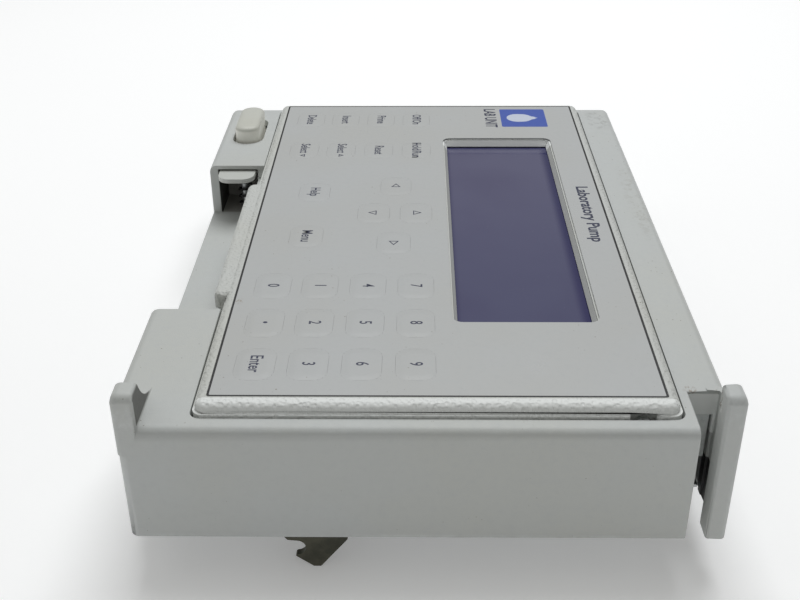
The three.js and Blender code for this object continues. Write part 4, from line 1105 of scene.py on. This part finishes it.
@dataclass
class Keypad:
    """The film with its embossed keys and what is printed on it."""

    finish: Finishes
    grow: float = 0.26 * MM
    corner: float = 3.66 * MM
    cap_height: float = 3.5 * MM
    thickness: float = 0.6 * MM
    stem: float = 2 * MM
    line_width: float = 0.5 * MM
    badge_box: "tuple[float, float, float, float]" = (32.5 * MM, 50.5 * MM, 82.5 * MM, 102 * MM)
    drop: float = 4.3 * MM
    crown: "tuple[tuple[float, float], ...]" = (
        (0.3 * MM, 0.01 * MM),
        (0.5 * MM, 0.04 * MM),
        (0.6 * MM, 0.07 * MM),
        (0.6 * MM, 0.04 * MM),
        (0.7 * MM, 0.02 * MM),
    )

    def key(self, node: str, legend: Legend) -> None:
        """Makes one key with its legend.

        Args:
            node: The key's node and body.
            legend: What is printed on it.
        """
        box = Box.of(node)
        film_top = Box.of("keypad_overlay").high[2]
        pad = bmesh.new()
        grow = self.grow
        sides = (box.low[0] - grow, box.high[0] + grow, box.low[1] - grow, box.high[1] + grow)
        base = outline(pad, sides, self.corner, film_top - self.thickness)
        top = raised(pad, base, self.thickness)
        crowned(pad, top, self.crown)
        z = film_top + sum(step[1] for step in self.crown)
        stem = bmesh.new()
        middle = box.middle()
        bmesh.ops.create_circle(stem, cap_ends=True, segments=12, radius=self.stem)
        bmesh.ops.translate(stem, vec=(middle.x, middle.y, box.low[2]), verts=stem.verts)
        stem.faces.ensure_lookup_table()
        raised(stem, stem.faces[0], film_top - 0.5 * MM - box.low[2])
        shape = joined([sealed(pad), sealed(stem)])
        made(f"{node}_pad", shape, self.finish.film, node, "keypad_film", [node])
        shapes = []
        x, y = middle.x, middle.y
        if legend.text:
            shift = 1.6 * MM if legend.mark is not None else 0.0
            shapes.append(Lettering(legend.text, self.cap_height).mesh(x, y + shift, z))
        if legend.mark is not None:
            shapes.append(arrow(x, y - 5.2 * MM, z, legend.mark, 1.3 * MM))
        if legend.arrow is not None:
            shapes.append(arrow(x, y, z, legend.arrow))
        made(f"{node}_legend", joined(shapes), self.finish.ink, node, "keypad_film")

    def line(self) -> None:
        """Makes the black line round the film."""
        box = Box.of("keypad_overlay")
        ring = bmesh.new()
        sides = (box.low[0], box.high[0], box.low[1], box.high[1])
        face = outline(ring, sides, 0.8 * MM, box.high[2] + LIFT, 3)
        bmesh.ops.inset_region(
            ring, faces=[face], thickness=self.line_width, use_even_offset=True, use_boundary=True
        )
        inner = max(ring.faces, key=lambda each: each.calc_area())
        bmesh.ops.delete(ring, geom=[inner], context="FACES_ONLY")
        thickened(ring)
        made("film_border", sealed(ring), self.finish.black, "tilt_panel", "keypad_film")

    def badge(self) -> None:
        """Makes the badge: a blue block with a white drop on it, and the words beside it."""
        z = Box.of("keypad_overlay").high[2] + LIFT
        block = bmesh.new()
        face = outline(block, self.badge_box, 0.6 * MM, z, 2)
        raised(block, face, INK)
        made("badge_block", sealed(block), self.finish.blue, "tilt_panel", "keypad_film")
        drop = bmesh.new()
        bmesh.ops.create_circle(drop, cap_ends=True, segments=32, radius=self.drop)
        tip = [each for each in drop.verts if each.co.x > 0]
        stretch = 1.9
        bmesh.ops.transform(drop, matrix=Matrix.Diagonal((stretch, 1, 1, 1)), verts=tip)
        for share, pinch in ((0.9, 0.3), (0.65, 0.62), (0.4, 0.85)):
            beyond = [each for each in tip if each.co.x > self.drop * stretch * share]
            bmesh.ops.transform(drop, matrix=Matrix.Diagonal((1, pinch, 1, 1)), verts=beyond)
        middle = 92.2 * MM
        above = z + INK + 0.002 * MM
        bmesh.ops.translate(drop, vec=(39.2 * MM, middle, above), verts=drop.verts)
        drop.faces.ensure_lookup_table()
        raised(drop, drop.faces[0], INK)
        made("badge_drop", sealed(drop), self.finish.white, "tilt_panel", "keypad_film")
        words = [
            Lettering("LAB UNIT", 4.6 * MM, 0.74, 0.12 * MM).mesh(28.2 * MM, middle, z),
            Lettering("Laboratory Pump", 4.1 * MM, 1.06, 0.14 * MM).mesh(56.0 * MM, 4 * MM, z),
        ]
        made("panel_words", joined(words), self.finish.ink, "tilt_panel", "keypad_film")

    def build(self) -> None:
        """Makes the film, its keys and its print."""
        refined("keypad_overlay", self.finish.film, "keypad_film", 0)
        for node, legend in LEGENDS.items():
            self.key(node, legend)
        self.line()
        self.badge()


@dataclass
class TiltPanel:
    """The bezel with its window, boards, cover and brace."""

    finish: Finishes
    screws: int = 4

    def build(self) -> None:
        """Makes the panel."""
        f = self.finish
        refined("panel_bezel", f.bezel, "panel_plastic", 0.25 * MM)
        refined("display_window", f.glass, "display_glass", 0.15 * MM)
        refined("display_module", f.dark, "dark_plastic", 0.2 * MM)
        refined("display_backlight", f.guide, "light_guide", 0.2 * MM)
        refined("driver_board", f.board, "circuit_board", 0.1 * MM)
        refined("keypad_board", f.board, "circuit_board", 0)
        refined("panel_back_cover", f.zinc, "zinc_plate", 0.15 * MM)
        refined("brace_rod", f.steel, "steel", 0.15 * MM)
        refined("support_brace", f.dark, "dark_plastic", 0.25 * MM)
        for number in range(1, self.screws + 1):
            refined(f"panel_screw_{number}", f.steel, "steel", 0.15 * MM)


# ------------------------------------------------------------------------------------------- stage


@dataclass(frozen=True)
class Studio:
    """Pale floor, soft light and the camera."""

    lens: float = 49.74
    place: Triple = (-0.00128, -0.32918, 0.20869)
    yaw: float = 0.964
    pitch: float = 29.946
    roll: float = -0.383
    glow: float = 0.2
    sky: float = 0.24
    sky_tint: Triple = (1.0, 1.0, 0.965)
    lamp_tint: Triple = (0.97, 0.985, 1.0)
    aim: Triple = (0.0, 0.0, 0.03)

    def floor(self) -> None:
        """Lays the floor."""
        mesh = bmesh.new()
        bmesh.ops.create_grid(mesh, x_segments=24, y_segments=24, size=8.0)
        data = bpy.data.meshes.new("floor")
        mesh.to_mesh(data)
        mesh.free()
        graph = Graph("pale floor")
        cloud = graph.noise(0.4, 3.0)
        color = graph.mix(cloud, (0.9, 0.9, 0.9), (0.94, 0.94, 0.94))
        glow = {"Emission_Color": (1.0, 1.0, 1.0), "Emission_Strength": self.glow}
        data.materials.append(graph.surface(color, 0.75, graph.noise(2 * MM, 2.0), 0.02 * MM, **glow))
        floor = bpy.data.objects.new("floor", data)
        bpy.context.scene.collection.objects.link(floor)
        floor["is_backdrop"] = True

    def light(self, name: str, place: Triple, size: float, power: float) -> None:
        """Hangs a soft box.

        Args:
            name: Its name.
            place: Where it hangs.
            size: Its side.
            power: Its power in watts.
        """
        data = bpy.data.lights.new(name, "AREA")
        data.size = size
        data.energy = power
        data.color = self.lamp_tint
        lamp = bpy.data.objects.new(name, data)
        lamp.location = place
        lamp.rotation_euler = (Vector(self.aim) - Vector(place)).to_track_quat("-Z", "Y").to_euler()
        bpy.context.scene.collection.objects.link(lamp)

    def camera(self) -> None:
        """Sets the camera up."""
        yaw, pitch, roll = (math.radians(each) for each in (self.yaw, self.pitch, self.roll))
        ahead = math.cos(pitch)
        forward = Vector((-math.sin(yaw) * ahead, math.cos(yaw) * ahead, -math.sin(pitch)))
        right = Vector((math.cos(yaw), math.sin(yaw), 0))
        up = right.cross(forward)
        turned_right = right * math.cos(roll) + up * math.sin(roll)
        turned_up = up * math.cos(roll) - right * math.sin(roll)
        data = bpy.data.cameras.new("camera")
        data.lens = self.lens
        data.sensor_width = 36
        data.clip_start = 0.01
        camera = bpy.data.objects.new("camera", data)
        turn = Matrix((turned_right, turned_up, -forward)).transposed().to_4x4()
        camera.matrix_world = Matrix.Translation(self.place) @ turn
        bpy.context.scene.collection.objects.link(camera)
        bpy.context.scene.camera = camera

    def build(self) -> None:
        """Lays the floor and sets light and camera."""
        self.floor()
        world = bpy.data.worlds.new("studio")
        world.use_nodes = True
        background = world.node_tree.nodes["Background"]
        background.inputs["Color"].default_value = (*self.sky_tint, 1)
        background.inputs["Strength"].default_value = self.sky
        bpy.context.scene.world = world
        bpy.context.scene.view_settings.view_transform = "Standard"
        self.light("key", (0.1, 0.5, 1.25), 0.9, 12.0)
        self.light("fill", (-0.7, 0.1, 1.0), 0.8, 0.9)
        self.camera()


def corners() -> "list[list[float]]":
    """Returns the whole object's box as plain lists."""
    return [list(map(float, corner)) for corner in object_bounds()]


def main() -> None:
    """Builds the door from its sub-assemblies and sets the stage."""
    logging.basicConfig(level=logging.INFO, format="%(name)s: %(message)s")
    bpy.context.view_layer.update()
    finish = Finishes(Box.of("door_housing"), Box.of("keypad_overlay"), Box.of("display_window"))
    Studio().build()
    Housing(finish).build()
    PowerButton(finish).build()
    TiltPanel(finish).build()
    Keypad(finish).build()


if __name__ == "__main__":
    main()
